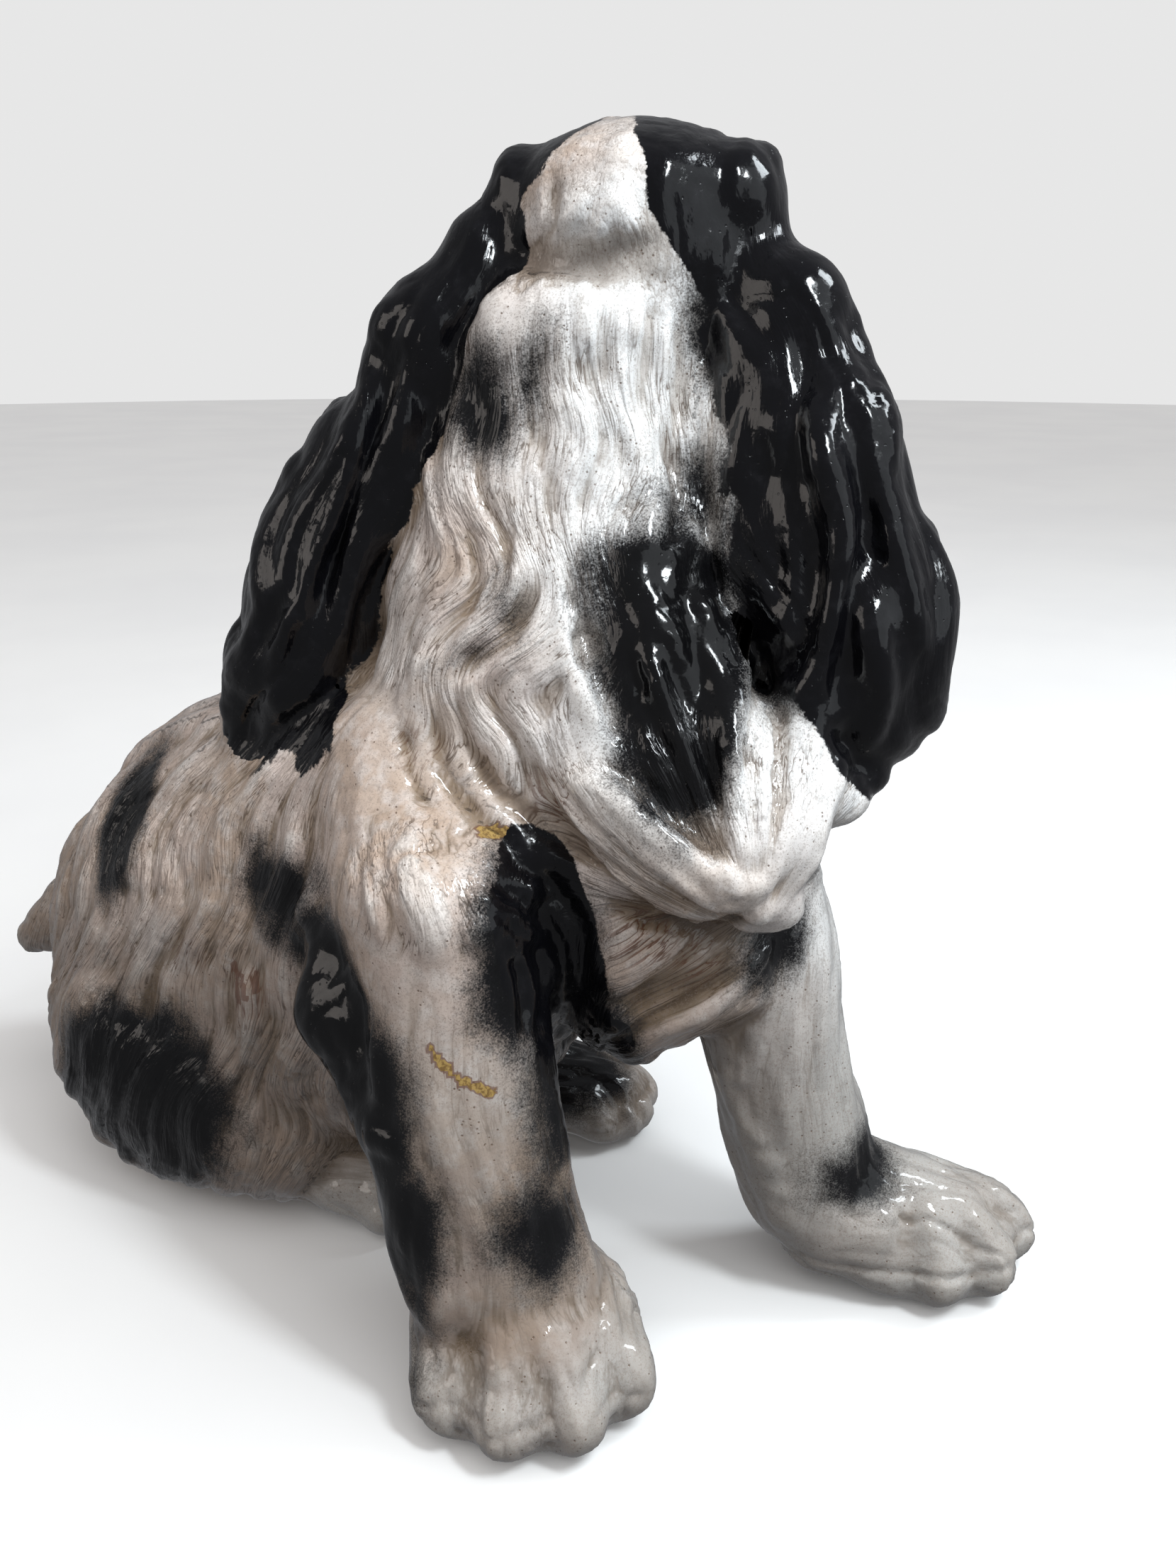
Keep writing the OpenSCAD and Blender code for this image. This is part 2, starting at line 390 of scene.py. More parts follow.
def sculpt_chest(clay):
    # the neck comes out full just under the skull
    sweep(clay, [(-2, 332, 6), (12, 335, 2), (26, 337, 0), (46, 334, 3)], (10, 12, 13, 11), 12)
    # the two shoulders
    chain(clay, [(-40, 2, 166), (-26, 20, 204)], (28, 22), 20)
    chain(clay, [(34, -54, 176), (34, -26, 210)], (24, 22), 18)
    # the long hair behind the near elbow
    chain(clay, [(-52, 30, 150), (-62, 20, 126), (-68, -6, 98), (-73, -24, 68), (-74, -32, 40)],
          (11, 14, 10, 7, 6), 9)
    # the bib: a fold that swings down from the neck to its tip, and another from the near ear
    sweep(clay, [(10, 262, -24), (16, 243, -28), (26, 226, -36), (37, 209, -45), (52, 195, -54),
                 (68, 184, -56), (82, 177, -53)], (6, 8, 9, 10, 11, 11, 9), 14)
    sweep(clay, [(93, 232, -40), (93, 212, -44), (88, 196, -52), (82, 178, -54)], (7, 8, 9, 8), 9)
    sweep(clay, [(94, 202, -46), (106, 199, -34), (116, 203, -24)], (8, 8, 6), 8)
    sweep(clay, [(10, 262, -26), (0, 249, -27), (-14, 237, -23), (-20, 220, -21), (-12, 203, -28),
                 (2, 190, -38), (14, 182, -44)], (5, 6, 7, 7, 7, 7, 5), 10)
    sweep(clay, [(12, 236, -46), (2, 222, -46), (4, 206, -50), (18, 192, -58)], 3, 7, carve=True)
    sweep(clay, [(46, 270, -18), (52, 240, -30), (58, 214, -42), (66, 192, -50)], (12, 13, 13, 12), 18)
    clay.ball(seen(57, 214, -84), (15, 25, 28), 8, np.array([ACROSS, DEEP, UP]), carve=True)
    sweep(clay, [(30, 212, -50), (40, 200, -60), (52, 190, -68), (64, 181, -70), (76, 175, -67),
                 (84, 175, -60)], (3, 4.5, 5.5, 5.5, 5, 4), 7)
    sweep(clay, [(84, 175, -60), (87, 190, -58), (91, 206, -50), (94, 222, -44)], (4, 4.5, 4, 3), 7)
    clay.ball(seen(108, 174, -44), (18, 18, 15), 8, carve=True)
    # under the bib: a crease, and the chest's own locks
    sweep(clay, [(26, 178, -66), (42, 172, -72), (62, 166, -72), (82, 160, -62)], (5, 8, 8, 6), 6,
          carve=True)
    for s, z, d, drop in ((40, 152, -46, 40), (50, 150, -48, 30), (60, 148, -46, 26), (70, 146, -42, 22),
                          (78, 146, -36, 22)):
        sweep(clay, [(s, z, d), (s + 2, z - 0.6 * drop, d + 3), (s + 4, z - drop, d + 9)], (9, 8, 4), 5)


def sculpt_paw(clay, heart, tips, toe):
    """Four toes that fan out from the heart of the paw to the tips given on the floor."""
    heart = np.array([heart[0], heart[1], 0.0])
    ends = []
    for n, (x, y) in enumerate(tips):
        out = np.array([x, y, 0.0]) - heart
        reach = np.linalg.norm(out)
        out /= reach
        lift = 1.0 if n in (1, 2) else 0.85
        tip = heart + out * (reach - toe) + UP * (toe * 0.92 + FLOOR_GAP)
        knuckle = heart + out * (reach - 1.9 * toe) + UP * toe * 1.85 * lift
        clay.tube(heart + UP * toe * 1.9, knuckle, toe, toe, 9.0)
        clay.tube(knuckle, tip, toe, toe * 0.98, 6.0)
        clay.ball(knuckle + out * 0.3 * toe, (toe * 0.95, toe * 0.95, toe * 0.8), 4.0)
        ends.append((tip, out))
    for (t0, o0), (t1, o1) in zip(ends[:-1], ends[1:]):
        clay.tube(t0 - o0 * 0.25 * toe, t1 - o1 * 0.25 * toe, toe * 0.9, toe * 0.9, 5.0)
    # creases between the toes and, finer, on each of them
    for (t0, o0), (t1, o1) in zip(ends[:-1], ends[1:]):
        for share, wide in ((0.0, 0.14), (0.26, 0.18), (0.5, 0.32), (0.76, 0.16)):
            tip = t0 + (t1 - t0) * share
            out = o0 + (o1 - o0) * share
            line = smooth_run([tip - out * 0.5 * toe + UP * 1.5 * toe,
                               tip + out * 0.1 * toe + UP * 1.3 * toe,
                               tip + out * 0.9 * toe + UP * 0.4 * toe,
                               tip + out * toe - UP * 0.9 * toe], 3.0)
            for _ in range(5):
                line = line - clay.sample(clay.d, line)[:, None] * slopes(clay, line)
            t = np.linspace(0.0, 1.0, len(line))
            fade = 1.0 if share == 0.5 else 2.5 - 2.4 * t
            r = wide * toe * np.clip(np.minimum(0.1 + 2.5 * t, fade), 0.15, 1.0)
            chain(clay, line + 0.15 * slopes(clay, line) * r[:, None], r, 2.5, carve=True)


def sculpt_folds(clay):
    """The sweeping folds of the bib and the mane, as seen from the front quarter."""
    # the crest left of the bib's hollow, then the hollow and its own hair
    folds(clay, [
        (4.0, 2.6, [(20, 262), (23, 246), (27, 236), (31, 228), (36, 219)]),
        (4.0, -2.6, [(27, 258), (29, 246), (33, 235), (38, 225), (42, 216)]),
        (2.6, -2.2, [(39, 248), (46, 228), (55, 211), (62, 198)]),
        (2.2, 1.8, [(44, 250), (50, 233), (58, 215), (66, 198)]),
        (2.6, -2.2, [(49, 254), (56, 236), (63, 217), (69, 198)]),
        (2.4, -1.8, [(57, 254), (62, 236), (67, 214), (71, 192)]),
        # the hem, from the near shoulder round the tip and up to the ear
        (4.5, -2.6, [(33, 214), (42, 207), (52, 199), (62, 192), (71, 184)]),
        (3.6, 3.0, [(22, 210), (33, 206), (41, 198), (50, 190), (59, 184), (68, 178), (76, 172),
                    (83, 176), (87, 186), (90, 199), (91, 214)]),
        (3.6, 2.4, [(65, 282), (70, 262), (73, 246), (72, 230), (71, 212), (73, 194), (76, 182)]),
        (2.6, 1.8, [(78, 238), (81, 218), (81, 200), (79, 184)]),
        (1.8, -1.6, [(75, 232), (76, 216), (77, 200), (77, 186)]),
        (2.0, -1.6, [(84, 230), (86, 210), (84, 190)]),
    ])
    # long hair swept under the hem
    for drop, rise in ((0.0, -2.0), (6.5, -1.5), (13.0, -2.2)):
        fold(clay, [(10 + 0.4 * drop, 215 - drop), (24, 199 - drop), (38, 184 - 0.9 * drop),
                    (54, 171 - 0.6 * drop), (64, 166 - 0.3 * drop)], 2.0, rise)
    fold(clay, [(33, 170), (49, 162), (66, 160), (80, 165)], 3.0, -2.6)
    # the chest's hair below it, swept back and down
    for up in (0.0, 6.0, 11.0, 17.0):
        fold(clay, [(78 - 0.3 * up, 146 + up), (62, 137 + up), (49, 127 + 0.9 * up), (38, 119 + 0.8 * up)],
             2.4, -2.2)
    # the hair curling round the near elbow
    folds(clay, [
        (2.2, -2.2, [(-3, 184), (7, 181), (15, 172), (20, 161), (22, 147), (19, 134)]),
        (2.0, -2.0, [(-1, 175), (8, 170), (13, 161), (15, 147), (13, 132)]),
        (2.2, -2.0, [(5, 191), (16, 186), (24, 173), (27, 158), (26, 144)]),
        (1.8, -1.8, [(2, 164), (8, 158), (9, 147), (8, 132)]),
    ], deep=-70)
    # the long wave beside the bib and the waves of the mane
    folds(clay, [
        (3.4, -3.0, [(11, 272), (10, 262), (4, 253), (-5, 246), (-14, 240)]),
        (3.0, 2.0, [(7, 278), (4, 264), (-4, 255), (-14, 248)]),
        (2.4, -1.8, [(-9, 290), (-4, 278), (-5, 265), (-12, 256), (-23, 249)]),
        (2.0, -1.6, [(1, 292), (5, 281), (4, 271), (-2, 261)]),
        (2.4, -2.0, [(-12, 238), (-9, 220), (-1, 206), (12, 195), (28, 181)]),
        (2.4, -2.0, [(-19, 230), (-16, 211), (-7, 198), (3, 189)]),
        (2.2, -1.8, [(-28, 226), (-26, 212), (-20, 200)]),
    ])
    # the hollow under the skull, the creases beside its bump, and the runs of glaze down the neck
    fold(clay, [(5, 359), (14, 355), (24, 354), (34, 356), (44, 360)], 4.0, -1.8, 4.0, -24)
    folds(clay, [
        (2.4, -2.0, [(18, 376), (19, 368), (15, 360)]),
        (2.2, -2.0, [(30, 373), (28, 366), (22, 360)]),
        (2.0, -1.6, [(35, 370), (33, 364), (36, 358)]),
    ], deep=-30)
    runs = ((9, 346, 14, 1.2), (19, 344, 30, 1.0), (27, 349, 18, 1.5), (35, 346, 34, 1.2),
            (41, 349, 16, 1.6), (49, 345, 38, 1.3), (57, 334, 30, 1.0))
    for s, top, drop, rise in runs:
        fold(clay, [(s, top), (s + 1.5, top - 0.5 * drop), (s - 1, top - drop)], 2.4, rise, deep=-30)
        fold(clay, [(s + 4, top - 5), (s + 6, top - 0.6 * drop), (s + 4, top - drop - 9)],
             1.6, -0.9 * rise, deep=-30)
    for s in (14, 25, 38, 52):
        fold(clay, [(s - 3, 318 - 0.2 * s), (s, 302), (s + 3, 290), (s + 1, 278)], 1.8, -1.3, deep=-30)
    # waves in the ears
    folds(clay, [
        (3.4, 2.4, [(94, 316), (98, 297), (106, 280), (104, 256), (101, 236), (94, 226)]),
        (3.0, -2.4, [(88, 310), (90, 290), (97, 274), (95, 252), (91, 240)]),
        (3.2, -2.6, [(104, 318), (110, 300), (116, 282), (112, 262), (110, 240), (106, 222)]),
        (3.2, 2.2, [(112, 302), (118, 282), (127, 262), (133, 240)]),
        (3.0, 2.0, [(112, 262), (117, 244), (122, 228), (118, 212)]),
    ], 4.0, -20)
    fold(clay, [(80, 306), (82, 288), (85, 270), (86, 254)], 2.6, -1.8, 3.0, -25)
    folds(clay, [
        (3.2, -2.4, [(-34, 330), (-44, 306), (-52, 284), (-60, 262), (-66, 240)]),
        (2.8, 2.0, [(-32, 316), (-40, 296), (-49, 274), (-55, 252), (-60, 232)]),
        (3.2, 2.4, [(-42, 320), (-54, 296), (-62, 274), (-74, 252), (-80, 230), (-84, 212)]),
        (3.0, -2.2, [(-56, 296), (-68, 272), (-78, 250), (-90, 228)]),
    ], 4.0, 30)


# ---------------------------------------------------------------- the way the hair lies
def mane_way(p):
    s = p @ ACROSS
    z = p[:, 2]
    open_out = 1.0 - ease(190, 270, z)
    a = s - 30.0 * open_out * np.tanh((s - 20.0) / 40.0)
    a -= 9.0 * np.exp(-(s / 22.0) ** 2 - ((z - 266.0) / 16.0) ** 2)
    a += 8.0 * np.exp(-((s + 8.0) / 24.0) ** 2 - ((z - 236.0) / 16.0) ** 2)
    a += 2.8 * np.sin(z / 9.0 + s / 20.0) * ease(340, 290, z) + 3.0 * noise(p / 30.0, 11)
    # on the bib it all runs in towards the tip
    ds = s - 77.0
    dz = np.maximum(z - 166.0, 1.0)
    inward = 77.0 + 60.0 * np.arctan2(ds, dz) + 1.5 * noise(p / 24.0, 18)
    on_bib = ease(100, 60, np.hypot(ds, dz)) * ease(-2, 16, s) * ease(160, 170, z)
    # and under the bib it is swept back and down
    swept = 0.8 * (z - 150.0) - 0.55 * s + 2.0 * noise(p / 22.0, 19)
    below = ease(172, 164, z) * ease(20, 34, s)
    a = a + (inward - a) * on_bib
    a = a + (swept - a) * below
    return np.stack([a, p @ DEEP, z], axis=1)


def far_ear_way(p):
    s = p @ ACROSS
    z = p[:, 2]
    a = s + 0.36 * (350.0 - z) + 4.0 * np.sin(z / 12.0 + s / 30.0) + 3.0 * noise(p / 34.0, 12)
    return np.stack([a, p @ DEEP, z], axis=1)


def near_ear_way(p):
    s = p @ ACROSS
    z = p[:, 2]
    a = s - 0.24 * (350.0 - z) + 4.5 * np.sin(z / 12.0 - s / 25.0) + 4.0 * noise(p / 34.0, 13)
    return np.stack([a, p @ DEEP, z], axis=1)


def flank_way(p):
    x, y, z = p.T
    a = y + 0.42 * z + 3.5 * np.sin(z / 9.0 + y / 22.0) + 6.0 * noise(p / 42.0, 14)
    return np.stack([a, x, z - 0.42 * y], axis=1)


def back_way(p):
    x, y, z = p.T
    a = x + 3.0 * np.sin(y / 10.0) + 4.0 * noise(p / 40.0, 15)
    return np.stack([a, z + 0.55 * y, y - 0.55 * z], axis=1)


def skull_way(p):
    q = (p - HEAD_AT) @ HEAD_AXES.T
    a = q[:, 0] + 1.6 * noise(p / 20.0, 16)
    return np.stack([a, q[:, 1] + q[:, 2], q[:, 1] - q[:, 2]], axis=1)


def leg_way(p):
    x, y, z = p.T
    return np.stack([x + 2.0 * np.sin(z / 14.0), y, z], axis=1)


def paw_way(p):
    x, y, z = p.T
    near_paw = (x < -28.0) & (y < 0.0)
    side = np.where(near_paw[:, None], np.array([[0.66, -0.75]]), np.array([[0.86, 0.5]]))
    a = x * side[:, 0] + y * side[:, 1] + 1.5 * noise(p / 16.0, 17)
    return np.stack([a, z, y * side[:, 0] - x * side[:, 1]], axis=1)


DOWN = np.array([0.0, 0.0, -1.0])
WAYS = {
    "mane": (mane_way, DOWN),
    "far_ear": (far_ear_way, DOWN),
    "near_ear": (near_ear_way, DOWN),
    "flank": (flank_way, np.array([0.0, 0.35, -1.0])),
    "back": (back_way, np.array([0.0, 1.0, -0.5])),
    "skull": (skull_way, -HEAD_AXES[1] - HEAD_AXES[2]),
    "leg": (leg_way, DOWN),
    "paw": (paw_way, DOWN),
}
WAY_OF = {
    "head_shell": "skull", "neck_shell": "mane", "chest_ruff": "mane", "trunk_shell": "flank",
    "ear_left": "far_ear", "ear_right": "near_ear", "foreleg_left": "leg", "foreleg_right": "leg",
    "forepaw_left": "paw", "forepaw_right": "paw", "haunch_left": "flank", "haunch_right": "flank",
    "hind_foot_left": "paw", "hind_foot_right": "paw", "tail_stub": "flank",
}


def skin_distance(clay, skin, p):
    win, block = skin
    return clay.sample(block, p, [w.start for w in win])


def nearness(clay, skins, p):
    """How far each point is from each casting, as a dict of rows."""
    out = {}
    for name, skin in skins.items():
        win = skin[0]
        low = clay.low + VOXEL * np.array([w.start for w in win])
        high = clay.low + VOXEL * np.array([w.stop - 1 for w in win])
        inside = np.all((p > low) & (p < high), axis=1)
        d = np.full(len(p), clay.far)
        if inside.any():
            d[inside] = skin_distance(clay, skin, p[inside])
        out[name] = d
    return out


def shares(near, p, normal):
    """How much of each way of lying each point takes; the shares add up to 1."""
    weight = {name: np.zeros(len(p)) for name in WAYS}
    for name, d in near.items():
        weight[WAY_OF[name]] += np.exp(-np.maximum(d, 0.0) / 2.2)
    top = ease(0.55, 0.9, normal[:, 2])
    weight["back"] = weight["flank"] * top
    weight["flank"] = weight["flank"] * (1.0 - top)
    high = ease(140, 180, p[:, 2])
    weight["mane"] = weight["mane"] + weight["leg"] * high
    weight["leg"] = weight["leg"] * (1.0 - high)
    total = sum(weight.values()) + 1e-9
    return {name: w / total for name, w in weight.items()}


def combed(way, p, normal):
    """The direction the hair runs in at each point, on the skin."""
    lies, down = WAYS[way]
    base = lies(p)[:, 0]
    slope = np.stack([lies(p + np.eye(3)[n])[:, 0] - base for n in range(3)], axis=1)
    run = np.cross(normal, slope)
    run *= np.where(run @ down < 0, -1.0, 1.0)[:, None]
    return run / np.maximum(np.linalg.norm(run, axis=1), 1e-6)[:, None]


LOCKS = (
    # way, how many, radius, height, length
    ("mane", 300, 6.0, 2.6, 70),
    ("far_ear", 60, 8.5, 3.8, 100),
    ("near_ear", 70, 9.5, 4.2, 100),
    ("flank", 330, 5.5, 2.3, 52),
    ("back", 90, 6.0, 2.2, 60),
    ("skull", 26, 6.0, 1.2, 40),
    ("leg", 70, 5.0, 1.6, 44),
)
LOCK_ROOTS = 24000  # places on the skin from which the locks' roots are drawn
LOCK_STEP = 6.0


def comb_locks(clay, skins, rng):
    """Lays tapering locks of hair on the skin, each following the way it is combed."""
    p, _ = skin_of(clay)
    p = p[rng.permutation(len(p))[:LOCK_ROOTS]]
    normal = slopes(clay, p)
    share = shares(nearness(clay, skins, p), p, normal)
    stamps = []
    for way, count, radius, height, length in LOCKS:
        start = np.flatnonzero(share[way] > 0.6)
        at = p[rng.choice(start, min(count, len(start)), replace=False)]
        size = rng.uniform(0.65, 1.3, len(at))
        steps = int(length / LOCK_STEP)
        trail = [at]
        alive = np.ones(len(at), dtype=bool)
        lives = [alive]
        for _ in range(steps):
            n = slopes(clay, at)
            at = at + LOCK_STEP * combed(way, at, n)
            for _ in range(2):
                at = at - clay.sample(clay.d, at)[:, None] * slopes(clay, at)
            trail.append(at)
            here = shares(nearness(clay, skins, at), at, slopes(clay, at))
            alive = alive & (here[way] > 0.35)
            lives.append(alive)
        trail = np.array(trail)
        lives = np.array(lives)
        for j in range(trail.shape[1]):
            n = int(lives[:, j].sum())
            if n < 4:
                continue
            path = trail[:n, j]
            t = np.linspace(0.0, 1.0, n)
            taper = np.clip(np.minimum(0.25 + t * 3.0, (1.0 - t) * 2.2 + 0.12), 0.0, 1.0)
            r = radius * size[j] * taper ** 0.7
            h = height * size[j] * taper
            stamps.append((path - slopes(clay, path) * (r - h)[:, None], r))
    for path, r in stamps:
        chain(clay, path, r, 1.6)


def true_distance(clay):
    """Measures the distance again after a lot of shaping."""
    p, q = skin_of(clay)
    tri = np.concatenate([q[:, [0, 1, 2]], q[:, [0, 2, 3]]])
    grid = openvdb.FloatGrid.createLevelSetFromPolygons(
        ((p - clay.low) / VOXEL).astype(np.float32), triangles=tri.astype(np.uint32), halfWidth=float(BAND))
    grid.copyToArray(clay.d)
    clay.d *= VOXEL


PAWS = (
    # heart, tips of the toes, toe's radius: near and far forepaw, then far and near hind foot
    ((-56, -46), [(-94, -38), (-91, -66), (-70, -88), (-42, -92)], 14.5),
    ((80, -122), [(49, -128), (57, -151), (80, -166), (108, -163)], 13.5),
    ((86, 28), [(74, 6), (86, -1), (98, -1), (109, 6)], 9.5),
    ((-14, 60), [(-26, 38), (-14, 31), (-3, 31), (8, 38)], 9.0),
)


def sculpt(clay, skins, rng):
    clay.blur(3.0)
    true_distance(clay)
    sculpt_chest(clay)
    soften(clay, [((-48, 4, 186), 46), ((34, -44, 186), 40), ((-34, 110, 110), 62), ((66, 110, 100), 62),
                  ((0, 236, 84), 40), ((-20, 30, 214), 44), ((46, 30, 210), 44),
                  (seen(46, 214, -48), 30)], 6.0)
    sculpt_ears(clay)
    sculpt_head(clay)
    for heart, tips, toe in PAWS:
        sculpt_paw(clay, heart, tips, toe)
    clay.blur(1.5, 1)
    true_distance(clay)
    comb_locks(clay, skins, rng)
    sculpt_folds(clay)
    clay.blur(1.5, 1)
    z = clay.points(clay.window(clay.low, clay.low + VOXEL * np.array(clay.shape)))[2]
    clay.d = blend_max(clay.d, (FLOOR_GAP - z).astype(np.float32), 2.0)
    clay.tube((*POUR_AT, -5), (*POUR_AT, 16), POUR_R, POUR_R, 2.0, carve=True)


# ---------------------------------------------------------------- the skin as a mesh
def skin_of(clay):
    grid = openvdb.FloatGrid()
    grid.copyFromArray(clay.d)
    points, _, quads = grid.convertToPolygons(isovalue=0.0)
    p = points.astype(np.float64) * VOXEL + clay.low
    q = quads.astype(np.int64)
    a = p[q[:, 2]] - p[q[:, 0]]
    b = p[q[:, 3]] - p[q[:, 1]]
    face = np.cross(a, b)
    face /= np.maximum(np.linalg.norm(face, axis=1), 1e-9)[:, None]
    outward = clay.sample(clay.d, p[q].mean(1) + 2.0 * face)
    if np.mean(outward > 0) < 0.5:
        q = q[:, ::-1]
    return p, q


def slopes(clay, p):
    """The way out of the skin at each point."""
    g = np.empty_like(p)
    for n in range(3):
        step = np.zeros(3)
        step[n] = VOXEL
        g[:, n] = clay.sample(clay.d, p + step) - clay.sample(clay.d, p - step)
    return g / np.maximum(np.linalg.norm(g, axis=1), 1e-9)[:, None]


STRANDS = {
    # way: lock spacing and depth, strand spacing and depth
    "mane": (8.0, 1.6, 3.6, 0.55),
    "far_ear": (10.0, 1.8, 4.5, 0.35),
    "near_ear": (12.0, 2.0, 5.0, 0.35),
    "flank": (7.5, 1.3, 3.6, 0.55),
    "back": (7.5, 1.1, 3.6, 0.5),
    "skull": (8.0, 0.35, 3.6, 0.25),
    "leg": (8.0, 0.7, 4.0, 0.35),
    "paw": (5.5, 1.7, 3.2, 0.6),
}


def strand_height(p, share):
    """How far the strands stand out of the skin, in mm; the grooves between them are negative."""
    height = np.zeros(len(p))
    for seed, (way, (wide, deep, fine, shallow)) in enumerate(STRANDS.items()):
        here = share[way] > 0.02
        if not here.any():
            continue
        a, b, t = WAYS[way][0](p[here]).T
        locks = np.abs(noise(np.stack([a / wide, b / (2.2 * wide), t / (7.0 * wide)], axis=1), 20 + seed))
        strands = np.abs(noise(np.stack([a / fine, b / (2.5 * fine), t / (8.0 * fine)], axis=1), 40 + seed))
        rise = deep * (np.minimum(locks * 2.4, 1.0) ** 0.7 - 0.62)
        rise += shallow * (np.minimum(strands * 2.4, 1.0) - 0.6)
        height[here] += share[way][here] * rise
    return height


# ---------------------------------------------------------------- the paint
def edge_at(z, *turns):
    """Where an edge runs across at each height, through turns (height, across), highest first."""
    turns = np.array(turns[::-1], float)
    return np.interp(z, turns[:, 0], turns[:, 1])


def patch(p, at, radii, turn=0.0):
    """Roughly the distance inside an oval patch seen from the front quarter, in mm; negative outside."""
    s = p @ ACROSS - at[0]
    z = p[:, 2] - at[1]
    c, w = math.cos(math.radians(turn)), math.sin(math.radians(turn))
    u = (s * c + z * w) / radii[0]
    v = (z * c - s * w) / radii[1]
    r = np.sqrt(u * u + v * v) + 1e-6
    return (1.0 - r) * min(radii)


def spot(p, at, radii):
    """The same for an oval patch at a point on the dog."""
    q = (p - np.array(at)) / np.array(radii)
    return (1.0 - np.linalg.norm(q, axis=1)) * min(radii)


def stroke(p, points):
    """How far each row of p is from a broken line through points."""
    points = np.array(points, float)
    away = np.full(len(p), 1e9)
    for a, b in zip(points[:-1], points[1:]):
        t = np.clip((p - a) @ (b - a) / ((b - a) @ (b - a)), 0.0, 1.0)
        away = np.minimum(away, np.linalg.norm(p - a - t[:, None] * (b - a), axis=1))
    return away


def marked(p, lines):
    """How far inside the nearest of some strokes (half width, line) each point lies."""
    return np.maximum.reduce([wide - stroke(p, line) for wide, line in lines])


def under_arm(p, left, right, top, bottom):
    """The stretch under the near arm between two edges."""
    s = p @ ACROSS
    z = p[:, 2]
    beside = np.minimum(s - edge_at(z, *left), edge_at(z, *right) - s)
    return np.minimum(np.minimum(beside, 6.0 - p @ DEEP), np.minimum(top - z, z - bottom))


# Where the black under the near arm ends on the right, (z, across)
ARM_RIGHT = ((196, 8), (191, 14), (179, 24), (167, 29), (150, 33), (134, 36), (118, 44), (90, 46))
SPRAYED_PATCHES = (
    # centre (across, z), radii, turn, how much larger: the oval, then the patch on the bib
    ((-4, 313), (9, 15), 6, -0.5),
    ((10, 322), (2.5, 8), -14, -1.5),
    ((44, 268), (17, 20), 0, 2.0),
    ((50, 250), (21, 36), 8, 4.0),
    ((53, 228), (14, 24), 12, 2.0),
    ((62, 284), (5, 22), 4, 0.0),
    # dark streaks in the mane's long wave
    ((3, 257), (4, 10), 20, -2.5),
    ((-7, 245), (11, 4), 25, -2.5),
)
SPRAYED_AND_SHADE_SPOTS = (
    # centre, radii, how crisp, how much larger: the dog's right side and near leg
    ((-46, 156, 156), (44, 14, 24), 1.0, 1.0),
    ((-58, 52, 157), (30, 22, 19), 0.7, -0.5),
    ((-68, 132, 54), (46, 46, 40), 0.75, 2.0),
    ((-62, 32, 146), (28, 20, 17), 0.8, 0.5),
    ((-68, 18, 128), (28, 22, 30), 1.0, 3.0),
    ((-84, -8, 100), (26, 20, 34), 1.0, 3.0),
    ((-98, -22, 68), (24, 18, 46), 1.0, 3.0),
    ((-56, -60, 71), (19, 17, 22), 0.8, 0.5),
    # the far leg, and the left side and rump, which the front quarter doesn't show
    ((57, -117, 52), (17, 18, 15), 0.7, -0.5),
    # a faint grey spot of painted shade on the far leg's top, under the ruff
    ((54, -92, 186), (28, 28, 30), 0.4, -3.5),
    ((62, 152, 130), (34, 42, 22), 0.8, 0.0),
    ((104, 92, 50), (26, 40, 22), 0.8, 0.0),
    ((60, 24, 186), (22, 38, 18), 0.8, 0.0),
    ((8, 226, 116), (26, 24, 20), 1.0, -4.0),
    # painted shade on the far leg's top, under the bib
    ((22, -92, 148), (20, 14, 20), 1.0, -1.0),
    # painted shade on the far hind foot, between the forelegs
    ((74, 34, 36), (30, 34, 17), 1.0, 2.0),
)


def soft_paint(p):
    """Sprayed black, with painted shade on the far leg's top and far hind foot, in mm inside its edge."""
    s = p @ ACROSS
    z = p[:, 2]
    d = p @ DEEP
    wander = 5.0 * noise(p / 26.0, 61) + 2.5 * noise(p / 10.0, 62)
    mane = np.maximum.reduce([patch(p, at, radii, turn) + more for at, radii, turn, more in SPRAYED_PATCHES])
    mane = np.where(d < 20.0, mane, FAR_OFF)
    beside_ear = s - edge_at(z, (352, 61), (330, 64), (311, 67), (280, 67), (262, 71), (236, 83))
    beside_ear = np.minimum(beside_ear, np.minimum(350 - z, z - 232))
    mane = np.where(d < 48.0, np.maximum(mane, np.minimum(beside_ear, 14.0) + 3.0), mane)
    arm_left = ((196, 4), (188, -4), (178, -8), (158, -9), (142, -7), (128, 2), (112, 10), (90, 14))
    arm = under_arm(p, arm_left, ARM_RIGHT, 190, 82)
    body = [crisp * spot(p, at, radii) + more for at, radii, crisp, more in SPRAYED_AND_SHADE_SPOTS]
    return np.maximum.reduce([mane, arm, *body]) + wander


